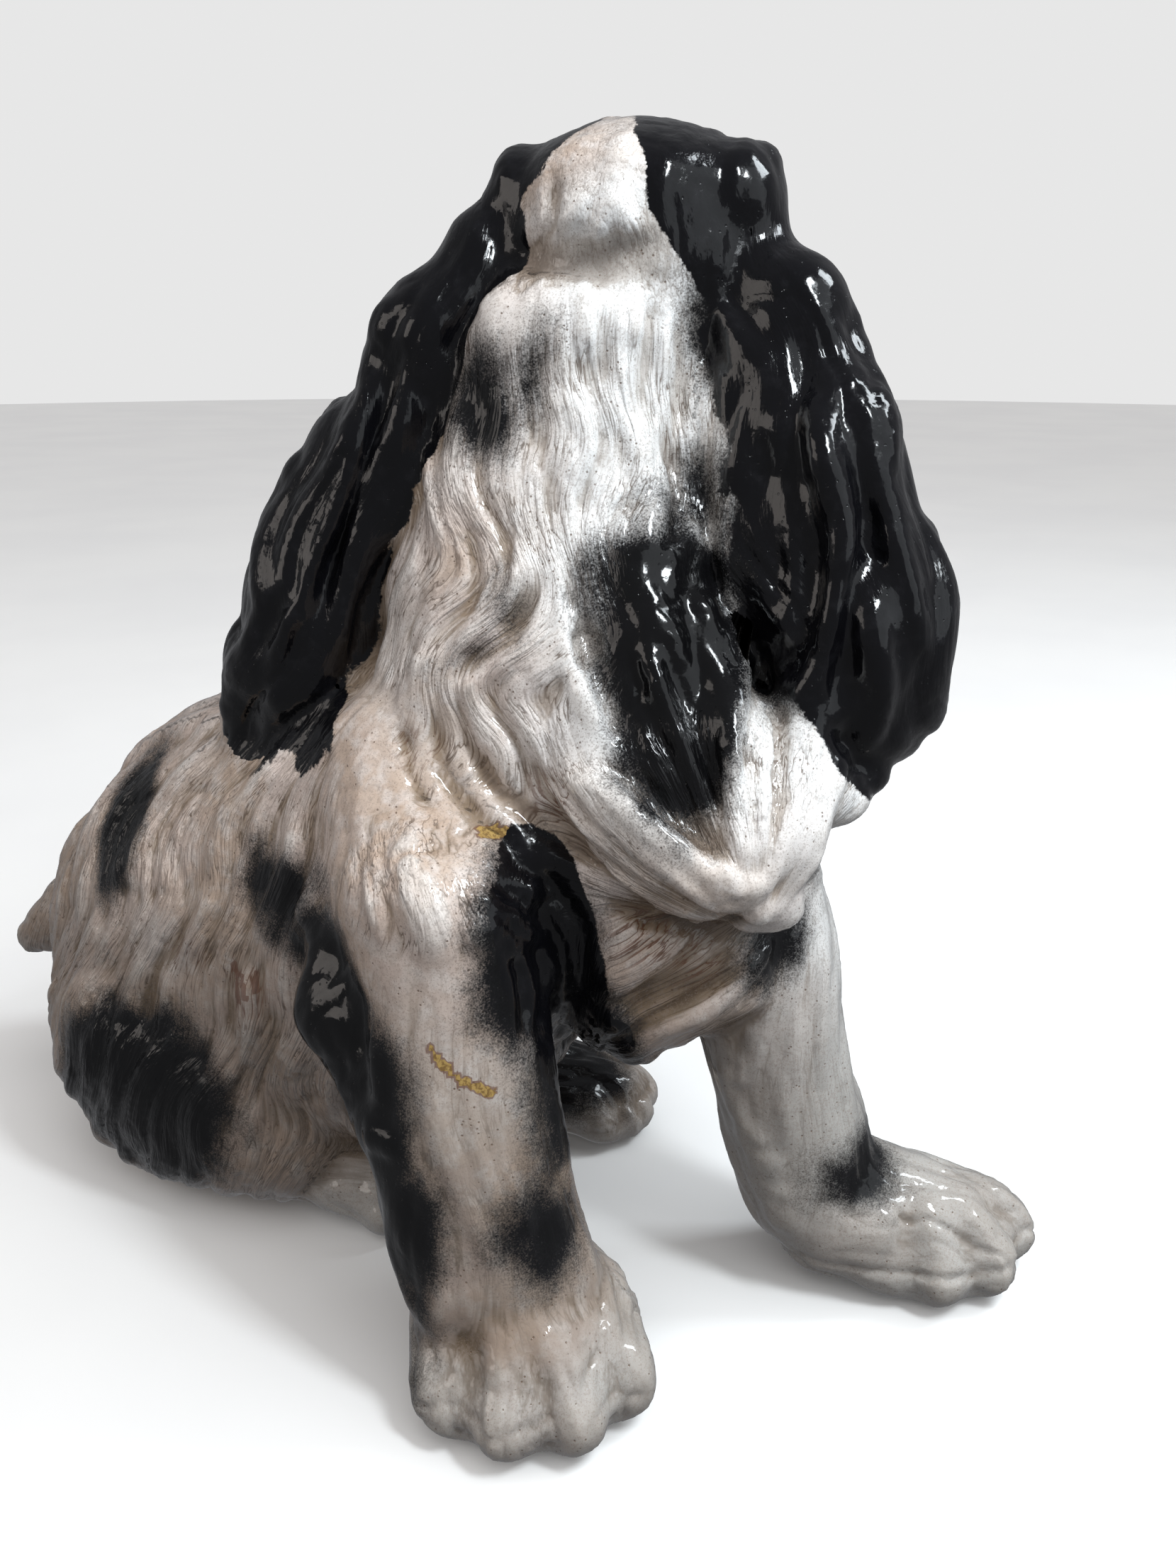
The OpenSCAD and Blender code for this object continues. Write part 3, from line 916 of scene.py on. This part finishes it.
def crisp_paint(p, near):
    """Brushed black, in mm inside its edge: ears, the head's two sides and under the bib."""
    s = p @ ACROSS
    z = p[:, 2]
    d = p @ DEEP
    q = (p - HEAD_AT) @ HEAD_AXES.T
    shaky = 1.6 * noise(p / 9.0, 71) + 0.8 * noise(p / 4.0, 72)

    # drips at the ends of the ears
    drip = 7.0 * np.abs(noise(np.stack([s / 9.0, d / 20.0, z * 0.0], axis=1), 73))
    far_edge = edge_at(z, (398, 31), (388, 19), (376, 9), (360, -3), (350, -9), (328, -18), (303, -26),
                       (278, -30), (266, -41), (249, -47), (228, -53), (200, -56))
    far_end = np.interp(s, (-106, -98, -90, -78, -67, -55, -49, -44),
                        (196, 186, 190, 199, 197, 211, 225, 234)) - 0.5 * drip
    far = np.minimum(far_edge - s, (z - far_end) * 0.8)
    far_side = np.minimum(4.0 + 5.0 * ease(285, 300, z) - near["ear_left"], (z - far_end) * 0.8)
    near_edge = edge_at(z, (400, 41), (388, 42), (370, 45), (357, 54), (344, 62), (328, 68), (311, 71),
                        (280, 73), (246, 78), (237, 85), (226, 94), (217, 99), (205, 104))
    near_end = 214.0 - 0.75 * np.clip(s - 99.0, 0.0, 16.0) - 0.5 * drip
    soft_stretch = 9.0 * ease(352, 330, z) * ease(236, 262, z)
    ear = np.minimum(s - near_edge - soft_stretch, (z - near_end) * 0.8)
    ear_side = np.minimum(4.0 - near["ear_right"], (z - near_end) * 0.8)
    ear_side = np.where((z > 285) & (d < 12), np.minimum(ear_side, s - near_edge + 4.0), ear_side)
    behind = d > 16.0
    far_back = near["ear_left"] < 9.0 + 12.0 * ease(286, 300, z)
    far = np.where(behind & ~far_back & (z < 322), NOT_HERE, far)
    ear_back = near["ear_right"] < 9.0
    ear = np.where((d > -2.0) & ~ear_back & (z < 330), NOT_HERE, ear)

    # the face: black to each side of a pale stripe that widens to the muzzle
    stripe = 12.0 + 16.0 * ease(48, 78, q[:, 1]) + 10.0 * ease(10, -20, q[:, 2])
    face = np.minimum(np.abs(q[:, 0]) - stripe, q[:, 2] + 36.0)
    in_front = (q[:, 1] > 8.0) & (near["head_shell"] < 12.0)
    face = np.where(in_front, np.minimum(face, 74.0 - q[:, 1]), NOT_HERE)
    far = np.where((q[:, 1] > 30.0) & ~far_back, NOT_HERE, far)
    ear = np.where((q[:, 1] > 30.0) & ~ear_back, NOT_HERE, ear)
    nose = spot(p, in_head(0, 106, -4), (15, 13, 13))

    arm_left = ((196, 4), (188, -2), (178, -3), (158, 2), (142, 6), (128, 12), (112, 18))
    armpit = under_arm(p, arm_left, ARM_RIGHT[:-1], 195, 118)
    armpit += 1.5 * noise(p / 7.0, 74) + 2.5 * noise(p / 17.0, 75)
    return np.maximum.reduce([far, far_side, ear, ear_side, face, nose, armpit]) + shaky


def hollowness(clay, p):
    """How deep in a groove each point lies, in mm; below 0 on a crest."""
    old = clay.d.copy()
    clay.blur(4.5, 2)
    wide = clay.sample(clay.d, p)
    clay.d = old
    return -wide


# ---------------------------------------------------------------- materials
class Nodes:
    """A few short words for building a material's node tree."""

    def __init__(self, name):
        self.material = bpy.data.materials.new(name)
        self.material.use_nodes = True
        self.tree = self.material.node_tree
        self.tree.nodes.clear()
        self.shader = self.tree.nodes.new("ShaderNodeBsdfPrincipled")
        out = self.tree.nodes.new("ShaderNodeOutputMaterial")
        self.tree.links.new(self.shader.outputs["BSDF"], out.inputs["Surface"])

    def set(self, **values):
        """Sets the shader's inputs; a name's spaces are written as underscores."""
        for name, value in values.items():
            self.put(self.shader.inputs[name.replace("_", " ")], value)

    def put(self, socket, value):
        if isinstance(value, bpy.types.NodeSocket):
            self.tree.links.new(value, socket)
        elif isinstance(value, tuple) and len(value) == 3 and socket.type == "RGBA":
            socket.default_value = value + (1.0,)
        else:
            socket.default_value = value

    def math(self, kind, a, b=0.0):
        n = self.tree.nodes.new("ShaderNodeMath")
        n.operation = kind
        self.put(n.inputs[0], a)
        self.put(n.inputs[1], b)
        return n.outputs[0]

    def add(self, *values):
        total = values[0]
        for v in values[1:]:
            total = self.math("ADD", total, v)
        return total

    def times(self, a, b):
        return self.math("MULTIPLY", a, b)

    def between(self, low, high, x, bottom=0.0, top=1.0):
        n = self.tree.nodes.new("ShaderNodeMapRange")
        n.interpolation_type = "SMOOTHSTEP"
        for socket, value in zip(n.inputs[:5], (x, low, high, bottom, top)):
            self.put(socket, value)
        return n.outputs[0]

    def mix(self, amount, a, b, kind="MIX"):
        n = self.tree.nodes.new("ShaderNodeMix")
        n.data_type = "RGBA"
        n.blend_type = kind
        self.put(n.inputs[0], amount)
        self.put(n.inputs[6], a)
        self.put(n.inputs[7], b)
        return n.outputs[2]

    def split(self, vector):
        n = self.tree.nodes.new("ShaderNodeSeparateXYZ")
        self.put(n.inputs[0], vector)
        return n.outputs

    def scaled(self, vector, x, y, z):
        n = self.tree.nodes.new("ShaderNodeVectorMath")
        n.operation = "MULTIPLY"
        self.put(n.inputs[0], vector)
        n.inputs[1].default_value = (x, y, z)
        return n.outputs[0]

    def noise(self, vector, scale, detail=2.0, roughness=0.5):
        n = self.tree.nodes.new("ShaderNodeTexNoise")
        self.put(n.inputs["Vector"], vector)
        n.inputs["Scale"].default_value = scale
        n.inputs["Detail"].default_value = detail
        n.inputs["Roughness"].default_value = roughness
        return n.outputs[0]

    def cells(self, vector, scale):
        n = self.tree.nodes.new("ShaderNodeTexVoronoi")
        self.put(n.inputs["Vector"], vector)
        n.inputs["Scale"].default_value = scale
        return n.outputs["Distance"]

    def attribute(self, name):
        n = self.tree.nodes.new("ShaderNodeAttribute")
        n.attribute_name = name
        return (n.outputs["Vector"], *self.split(n.outputs["Vector"]))

    def millimetres(self):
        n = self.tree.nodes.new("ShaderNodeTexCoord")
        return self.scaled(n.outputs["Object"], 1000.0, 1000.0, 1000.0)

    def bump(self, height, below=None):
        """height is in millimetres."""
        n = self.tree.nodes.new("ShaderNodeBump")
        n.inputs["Distance"].default_value = 0.001
        n.inputs["Strength"].default_value = 1.0
        self.put(n.inputs["Height"], height)
        if below is not None:
            self.put(n.inputs["Normal"], below)
        return n.outputs[0]


def centred(n, noise, reach):
    """Noise from 0 to 1 turned to -reach to reach."""
    return n.add(n.times(noise, 2.0 * reach), -reach)


def glaze(name, strand_depth):
    """Cream glaze with stained grooves, sprayed and brushed black, pits, rust and chips, with painted light
    and shade: whiter on the lit side, paler crests, darker low down and in shaded places.
    """
    n = Nodes(name)
    mm = n.millimetres()
    _, sprayed_and_shade, brushed, groove = n.attribute("paint")
    lie, _, _, _ = n.attribute("lie")
    _, hairy, lit_and_whiter, mark = n.attribute("feel")

    broad = n.noise(mm, 1 / 45.0, 3.0)
    middling = n.noise(mm, 1 / 7.0, 4.0, 0.6)
    fine = n.noise(mm, 1 / 1.3, 2.0, 0.6)
    grain = n.noise(mm, 1 / 0.55, 1.0)
    strands = n.noise(n.scaled(lie, 1 / 2.1, 1 / 5.0, 1 / 26.0), 1.0, 2.0, 0.55)
    coarse = n.noise(n.scaled(lie, 1 / 5.0, 1 / 10.0, 1 / 55.0), 1.0, 1.0)
    ridged = n.math("ABSOLUTE", centred(n, strands, 1.0))
    ridged_coarse = n.math("ABSOLUTE", centred(n, coarse, 1.0))

    # body colour: cream, pinker and darker by turns, and cooler and whiter where painted light falls on the
    # right side and higher up, and on the legs and paws
    body = n.mix(n.between(0.35, 0.66, broad), (0.52, 0.405, 0.325), (0.57, 0.475, 0.43))
    body = n.mix(n.between(0.42, 0.7, middling), body, (0.66, 0.585, 0.54))
    body = n.mix(lit_and_whiter, body, (0.82, 0.83, 0.83))
    # how stained each point is: stain in the grooves, plus the painted shade added under the skull, on the
    # far hind foot and under the bib; less on the whiter, lit side
    stain_and_shade_depth = n.add(groove, n.times(n.between(0.0, 0.32, ridged), -0.55),
                 n.times(n.between(0.0, 0.3, ridged_coarse), -0.45), centred(n, middling, 0.8))
    stain_and_shade = n.times(n.between(-0.6, 0.9, stain_and_shade_depth), n.between(0.0, 0.9, lit_and_whiter, 0.9, 0.45))
    body = n.mix(stain_and_shade, body, (0.225, 0.160, 0.100))
    # the deepest stain and painted shade go dark brown
    deep = n.between(0.9, 2.0, stain_and_shade_depth)
    body = n.mix(n.times(deep, n.between(0.0, 0.9, lit_and_whiter, 0.65, 0.3)), body, (0.10, 0.062, 0.035))

    # thin dark lines where the stain has run between strands, here and there
    lines = n.times(n.between(0.075, 0.0, ridged), n.between(0.42, 0.62, n.noise(mm, 1 / 13.0, 2.0)))
    lines = n.times(n.times(lines, 0.8), n.math("MINIMUM", n.times(hairy, 1.6), 1.0))
    body = n.mix(lines, body, (0.085, 0.052, 0.030))
    # a painted highlight: paler glaze on the crests
    crest = n.between(-0.7, -1.5, groove)
    body = n.mix(n.times(crest, 0.55), body, (0.74, 0.71, 0.68))

    # painted shade: greyer and darker towards the bottom, where less light falls
    height_up = n.split(mm)[2]
    low_shade_grey = n.mix(n.between(0.3, 0.7, broad), (0.40, 0.385, 0.36), (0.44, 0.42, 0.39))
    body = n.mix(n.between(200.0, 70.0, height_up, 0.0, 0.85), body, n.mix(1.0, body, low_shade_grey, "MULTIPLY"))

    # pits and specks in the glaze
    pits = n.between(0.17, 0.09, n.cells(mm, 1 / 2.6))
    pits = n.times(pits, n.between(0.38, 0.56, n.noise(mm, 1 / 11.0, 2.0)))
    specks = n.math("MAXIMUM", n.between(0.56, 0.68, grain), n.times(n.between(0.52, 0.66, fine), 0.7))
    body = n.mix(n.times(pits, 0.75), body, (0.13, 0.08, 0.05))
    body = n.mix(n.times(specks, 0.45), body, (0.24, 0.19, 0.16))

    # rust in the scratches and ochre where the glaze is chipped
    rust = n.math("MAXIMUM", n.times(n.math("MINIMUM", mark, 1.0), n.between(0.10, 0.02, ridged)),
                  n.between(1.0, 1.3, mark))
    body = n.mix(n.times(rust, 0.7), body, (0.13, 0.050, 0.026))

    # sprayed black fades out in a dust of dots; brushed black has a hard edge
    dust = n.add(sprayed_and_shade, centred(n, middling, 3.5), centred(n, fine, 2.0), centred(n, grain, 4.0))
    soft = n.between(-6.5, 5.5, dust)
    thin = n.mix(n.between(2.0, 10.0, dust), (0.009, 0.009, 0.010), (0.0035, 0.0035, 0.004))
    hard = n.between(-0.45, 0.45, n.add(brushed, centred(n, fine, 1.3)))
    body = n.mix(soft, body, thin)
    black = n.mix(n.times(n.between(0.5, 0.75, middling), 0.6), (0.003, 0.003, 0.004), (0.009, 0.009, 0.011))
    body = n.mix(hard, body, black)
    ochre = n.mix(n.between(0.4, 0.6, fine), (0.40, 0.27, 0.09), (0.20, 0.12, 0.04))
    body = n.mix(n.between(2.3, 2.7, mark), body, ochre)

    inked = n.math("MAXIMUM", soft, hard)
    rough = n.add(n.between(0.0, 1.0, inked, 0.36, 0.16), n.times(stain_and_shade, 0.16), centred(n, middling, 0.07))
    n.set(Base_Color=body, Roughness=n.math("MINIMUM", n.math("MAXIMUM", rough, 0.08), 0.7), IOR=1.5,
          Specular_IOR_Level=0.12, Coat_Weight=n.between(0.0, 1.0, inked, 0.95, 0.55), Coat_Roughness=0.07,
          Coat_IOR=1.5)

    depth = n.times(hairy, n.between(0.0, 1.0, hard, strand_depth, 0.4 * strand_depth))
    height = n.add(n.times(n.times(n.math("MINIMUM", ridged, 0.42), 1.5), depth),
                   n.times(n.times(n.math("MINIMUM", ridged_coarse, 0.4), 2.2), depth))
    pool = n.bump(n.add(height, n.times(pits, -0.12), n.times(hard, 0.10)))
    skin_bump = n.bump(n.add(n.times(n.noise(mm, 1 / 3.2, 2.0), 0.16), n.times(fine, 0.05)), pool)
    dimples = n.times(n.noise(mm, 1 / 5.0, 2.0), 0.25)
    coat = n.bump(n.add(n.times(height, 0.35), dimples, n.times(pits, -0.08)))
    n.set(Normal=skin_bump, Coat_Normal=coat)
    return n.material


def felt():
    """Dark brown matted fibres."""
    n = Nodes("felt_pad")
    mm = n.millimetres()
    fibres = n.noise(n.scaled(mm, 1.0, 1.0, 0.5), 1 / 0.5, 3.0, 0.7)
    blotch = n.noise(mm, 1 / 5.0, 2.0)
    colour = n.mix(n.between(0.35, 0.7, fibres), (0.035, 0.022, 0.014), (0.085, 0.058, 0.038))
    colour = n.mix(n.times(n.between(0.4, 0.7, blotch), 0.5), colour, (0.045, 0.035, 0.028))
    n.set(Base_Color=colour, Roughness=n.between(0.3, 0.7, fibres, 0.85, 1.0), Sheen_Weight=0.35,
          Normal=n.bump(n.times(fibres, 0.35)))
    return n.material


def pale_floor():
    """A near-white studio floor with a faint cloudiness."""
    n = Nodes("pale_floor")
    mm = n.millimetres()
    cloud = n.noise(mm, 1 / 300.0, 3.0)
    n.set(Base_Color=n.mix(n.between(0.3, 0.7, cloud), (0.86, 0.86, 0.86), (0.89, 0.89, 0.885)),
          Roughness=n.between(0.3, 0.7, n.noise(mm, 1 / 40.0, 2.0), 0.75, 0.85),
          Normal=n.bump(n.times(n.noise(mm, 1 / 2.0, 2.0), 0.03)))
    return n.material


# ---------------------------------------------------------------- pieces
def vertex_normals(p, q):
    a = p[q[:, 2]] - p[q[:, 0]]
    b = p[q[:, 3]] - p[q[:, 1]]
    face = np.cross(a, b)
    total = np.stack([np.bincount(q.ravel(), np.repeat(face[:, n], 4), len(p)) for n in range(3)], axis=1)
    return total / np.maximum(np.linalg.norm(total, axis=1), 1e-12)[:, None]


def touching(quads):
    """The pairs of quads that share a side."""
    sides = np.concatenate([quads[:, [n, (n + 1) % 4]] for n in range(4)])
    key = sides.min(axis=1) * (quads.max() + 1) + sides.max(axis=1)
    quad = np.tile(np.arange(len(quads)), 4)
    order = np.argsort(key, kind="stable")
    same = key[order][1:] == key[order][:-1]
    return quad[order][:-1][same], quad[order][1:][same]


def groups(count, a, b):
    """Numbers each run of things joined by the pairs (a, b)."""
    parent = list(range(count))

    def root(n):
        while parent[n] != n:
            parent[n] = parent[parent[n]]
            n = parent[n]
        return n

    for i, j in zip(a.tolist(), b.tolist()):
        i = root(i)
        j = root(j)
        if i != j:
            parent[j] = i
    return np.array([root(n) for n in range(count)])


def settle_owners(quads, owner, least=200):
    """Hands each little island of a piece over to the piece round it."""
    a, b = touching(quads)
    joined = owner[a] == owner[b]
    group = groups(len(quads), a[joined], b[joined])
    size = np.bincount(group, minlength=len(quads))
    for g in np.unique(group[size[group] < least]):
        round_it = np.concatenate([owner[b[(group[a] == g) & (group[b] != g)]],
                                   owner[a[(group[b] == g) & (group[a] != g)]]])
        if len(round_it):
            owner[group == g] = np.bincount(round_it).argmax()
    return owner


def loops_of(edges):
    """Groups boundary edges into their closed runs."""
    follows = {}
    for n, (a, b) in enumerate(edges):
        follows.setdefault(a, []).append(n)
    unused = set(range(len(edges)))
    runs = []
    while unused:
        n = unused.pop()
        run = [n]
        b = edges[n][1]
        while True:
            ahead = [m for m in follows.get(b, ()) if m in unused]
            if not ahead:
                break
            n = ahead[0]
            unused.discard(n)
            run.append(n)
            b = edges[n][1]
        runs.append(run)
    return runs


def cut_piece(p, q, normal):
    """Takes these quads out as a closed shape. Gives its points, faces, and each point's source."""
    sides = np.concatenate([q[:, [0, 1]], q[:, [1, 2]], q[:, [2, 3]], q[:, [3, 0]]])
    size = len(p) + 1
    keys = sides[:, 0] * size + sides[:, 1]
    back = sides[:, 1] * size + sides[:, 0]
    rim = sides[~np.isin(keys, back)]
    source = list(np.unique(q))
    index = {v: n for n, v in enumerate(source)}
    faces = [[index[v] for v in face] for face in q.tolist()]
    points = [p[v] for v in source]
    inset = {}
    for v in np.unique(rim):
        inset[v] = len(points)
        points.append(p[v] - LIP * normal[v])
        source.append(v)
    rim = rim.tolist()
    for run in loops_of(rim):
        middle = np.mean([points[inset[rim[n][0]]] for n in run], axis=0)
        centre = len(points)
        points.append(middle)
        source.append(rim[run[0]][0])
        for n in run:
            a, b = rim[n]
            faces.append([index[b], index[a], inset[a], inset[b]])
            faces.append([inset[b], inset[a], centre])
    return np.array(points), faces, np.array(source)


def make_piece(name, points, faces, normal, values, material):
    mesh = bpy.data.meshes.new(name)
    mesh.from_pydata(((points + SHIFT) / 1000.0).tolist(), [], faces)
    mesh.polygons.foreach_set("use_smooth", [True] * len(mesh.polygons))
    for key, rows in values.items():
        layer = mesh.attributes.new(key, "FLOAT_VECTOR", "POINT")
        layer.data.foreach_set("vector", rows.astype(np.float32).ravel())
    mesh.normals_split_custom_set_from_vertices(normal.tolist())
    mesh.materials.append(material)
    piece = bpy.data.objects.new(name, mesh)
    bpy.context.scene.collection.objects.link(piece)
    return piece


# ---------------------------------------------------------------- building
rng = np.random.default_rng(SEED)
clay, skins = cast_solid()
sculpt(clay, skins, rng)
skin, quads = skin_of(clay)
whole = groups(len(quads), *touching(quads))
quads = quads[whole == np.bincount(whole).argmax()]
used, quads = np.unique(quads, return_inverse=True)
skin = skin[used]
quads = quads.reshape(-1, 4)
outward = slopes(clay, skin)
near = nearness(clay, skins, skin)
share = shares(near, skin, outward)
off_floor = ease(FLOOR_GAP + 1.0, FLOOR_GAP + 8.0, skin[:, 2])
relief = strand_height(skin, share) * off_floor
groove = hollowness(clay, skin) - 0.6 * relief
# painted shade, with stain, in the hollow under the skull
shaded_hollow_under_skull = np.maximum.reduce([spot(skin, seen(s, z, -8.0), (12, 12, 6)) for s, z in
                                        ((4, 358), (14, 355), (28, 354), (40, 357), (46, 362))])
groove += 1.5 * ease(-5.0, 4.0, shaded_hollow_under_skull)
# painted shade on the far hind foot, deep between the legs
groove += 1.5 * np.exp(-np.maximum(near["hind_foot_left"], 0.0) / 6.0)
groove += 0.7 * ease(-10.0, 6.0, spot(skin, seen(66, 196, -62), (26, 20, 34)))
# painted shade under the bib
groove += 0.8 * ease(-8.0, 14.0, spot(skin, seen(60, 142, -50), (40, 30, 34)))
sprayed_and_shade = soft_paint(skin)
brushed = crisp_paint(skin, near)
skin_shaped = skin + outward * relief[:, None]

# how the hair lies, by the way that counts most at each point
order = list(WAYS)
amounts = np.stack([share[way] for way in order], axis=1)
most = amounts.argmax(axis=1)
lies = np.zeros_like(skin)
for n, way in enumerate(order):
    here = most == n
    if here.any():
        lies[here] = WAYS[way][0](skin[here]) + 137.0 * n
STRAND_AMOUNT = {"mane": 1.0, "far_ear": 0.7, "near_ear": 0.6, "flank": 1.0, "back": 0.9, "skull": 0.35,
                 "leg": 0.2, "paw": 0.12}
hairy = np.array([STRAND_AMOUNT[way] for way in order])[most]
hairy = hairy * ease(0.5, 0.8, amounts.max(axis=1)) * off_floor

across = skin @ ACROSS
# whiter glaze: painted light on the right side and higher up, where the light falls; also whiter on the legs
# and low on the paws, and much less on top of the head
lit_and_whiter = 0.95 * ease(-10, 42, across) * ease(130, 250, skin[:, 2]) + 0.35 * ease(60, 130, across)
lit_and_whiter += (0.15 + 0.35 * ease(20, 60, across)) * (share["leg"] + share["paw"])
lit_and_whiter += 0.6 * ease(44, 24, skin[:, 2]) * share["paw"] * ease(60, 20, across)
lit_and_whiter += 0.22 * ease(190, 240, skin[:, 2]) - 0.85 * ease(366, 388, skin[:, 2])
lit_and_whiter = np.clip(lit_and_whiter + 0.25 * noise(skin / 30.0, 81), 0.0, 0.9)
RUST_STROKES = (
    # half width, line
    (1.6, [(-57, 81, 124), (-57, 80, 116), (-58, 78, 110)]),
    (1.4, [(-58, 70, 122), (-58, 69, 116), (-60, 67, 110)]),
    (1.2, [(-58, 76, 119), (-59, 74, 112)]),
    (1.2, [(-61, 112, 122), (-61, 109, 116)]),
    (1.0, [(-61, 102, 118), (-61, 99, 113)]),
)
CHIPS = (
    (1.9, [(-78, -30, 138), (-75, -35, 130), (-71, -41, 124), (-66, -46, 121), (-61, -51, 121)]),
    (2.4, [(-44, -22, 190), (-38, -30, 192)]),
)
RUSTY_PLACES = (
    # centre, radii
    ((-60, 74, 112), (12, 13, 18)), ((-66, 104, 120), (14, 16, 12)), ((-38, 4, 212), (10, 12, 16)),
    ((-30, -44, 204), (12, 14, 12)), ((-20, -70, 160), (16, 16, 14)), ((-6, -80, 150), (12, 14, 12)),
)
strokes = marked(skin, RUST_STROKES) + 0.5 * noise(skin / 3.0, 84)
rusty = np.maximum.reduce([spot(skin, at, radii) / 8.0 for at, radii in RUSTY_PLACES])
chipped = marked(skin, CHIPS) + 1.3 * noise(skin / 3.0, 83)
mark = np.clip(rusty, 0.0, 1.0) + np.where(strokes > 0.0, 1.0, 0.0) + np.where(chipped > 0.0, 3.0, 0.0)

paint = np.stack([sprayed_and_shade, brushed, groove], axis=1)
feel = np.stack([hairy, lit_and_whiter, mark], axis=1)
normals = vertex_normals(skin_shaped, quads)

pied = glaze("pied_glaze_look", 0.55)
dark = glaze("black_glaze_look", 0.45)
names = list(near)
owner = np.argmin(np.stack([near[name][quads].mean(axis=1) for name in names], axis=1), axis=1)
owner = settle_owners(quads, owner)
for n, name in enumerate(names):
    points, faces, source = cut_piece(skin_shaped, quads[owner == n], normals)
    values = {"paint": paint[source], "lie": lies[source], "feel": feel[source]}
    slot_name = "black_glaze" if name.startswith("ear") else "pied_glaze"
    piece = make_piece(name + "_glazed", points, faces, normals[source], values,
                       dark if slot_name == "black_glaze" else pied)
    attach(piece, "root")
    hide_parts(name)

felt_look = felt()
for name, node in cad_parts.items():
    if name.startswith("felt"):
        for socket in node.material_slots:
            socket.material = felt_look

# ---------------------------------------------------------------- floor, light and camera
bpy.ops.mesh.primitive_circle_add(vertices=96, radius=6.0, fill_type="NGON", location=(0, 0, 0))
floor = bpy.context.object
floor.name = "floor"
floor.data.materials.append(pale_floor())
floor.visible_diffuse = False
floor.visible_glossy = False

world = bpy.data.worlds.new("studio")
bpy.context.scene.world = world
world.use_nodes = True
tree = world.node_tree
tree.nodes.clear()
out = tree.nodes.new("ShaderNodeOutputWorld")
room = tree.nodes.new("ShaderNodeBackground")
room.inputs["Color"].default_value = (0.95, 0.96, 1.0, 1.0)
room.inputs["Strength"].default_value = 0.2
backdrop = tree.nodes.new("ShaderNodeBackground")
backdrop.inputs["Color"].default_value = (0.80, 0.80, 0.80, 1.0)
backdrop.inputs["Strength"].default_value = 1.0
path = tree.nodes.new("ShaderNodeLightPath")
both = tree.nodes.new("ShaderNodeMixShader")
tree.links.new(path.outputs["Is Camera Ray"], both.inputs[0])
tree.links.new(room.outputs[0], both.inputs[1])
tree.links.new(backdrop.outputs[0], both.inputs[2])
tree.links.new(both.outputs[0], out.inputs["Surface"])


def soft_light(name, at, toward, size, power, colour):
    data = bpy.data.lights.new(name, "AREA")
    data.shape = "RECTANGLE"
    data.size, data.size_y = size
    data.energy = power
    data.color = colour
    light = bpy.data.objects.new(name, data)
    bpy.context.scene.collection.objects.link(light)
    light.location = at
    aim = Vector(toward) - Vector(at)
    light.rotation_euler = aim.to_track_quat("-Z", "Y").to_euler()


RIGHT = Vector(ACROSS)
AWAY = Vector(DEEP)
HIGH = Vector((0.0, 0.0, 1.0))
MIDDLE = (0.0, 0.0, 0.2)
sky = bpy.data.lights.new("overhead_sky", "SUN")
sky.energy = 1.9
sky.angle = math.radians(80)
sky.color = (1.0, 0.985, 0.97)
sky_light = bpy.data.objects.new("overhead_sky", sky)
bpy.context.scene.collection.objects.link(sky_light)
sky_light.visible_glossy = False
sky_light.rotation_euler = (RIGHT * -0.15 + AWAY * 0.45 - HIGH).to_track_quat("-Z", "Y").to_euler()
bpy.context.scene.view_settings.view_transform = "Standard"
LIGHTS = (
    # name, place (right, away, up), what it points at, width and height, watts, colour
    ("window", (1.25, 0.15, 1.35), MIDDLE, (0.4, 0.7), 12.0, (0.88, 0.95, 1.0)),
    ("open_sky", (1.5, -0.9, 1.0), MIDDLE, (1.8, 1.8), 8.0, (0.90, 0.96, 1.0)),
    ("window_pane", (0.42, -0.42, 0.85), (0.02, -0.08, 0.3), (0.12, 0.26), 4.5, (0.90, 0.96, 1.0)),
    ("warm_side", (-1.5, -0.6, 0.9), MIDDLE, (0.9, 0.9), 5.0, (1.0, 0.92, 0.86)),
)
for name, (right, away, up), toward, size, watts, colour in LIGHTS:
    soft_light(name, RIGHT * right + AWAY * away + HIGH * up, toward, size, watts, colour)

view = bpy.data.cameras.new("camera")
view.lens = LENS
camera = bpy.data.objects.new("camera", view)
bpy.context.scene.collection.objects.link(camera)
camera.location = (-0.3650, -0.3358, 0.3396)
camera.rotation_euler = (math.radians(90 - VIEW_DIP), 0.0, math.radians(-VIEW_TURN))
bpy.context.scene.camera = camera
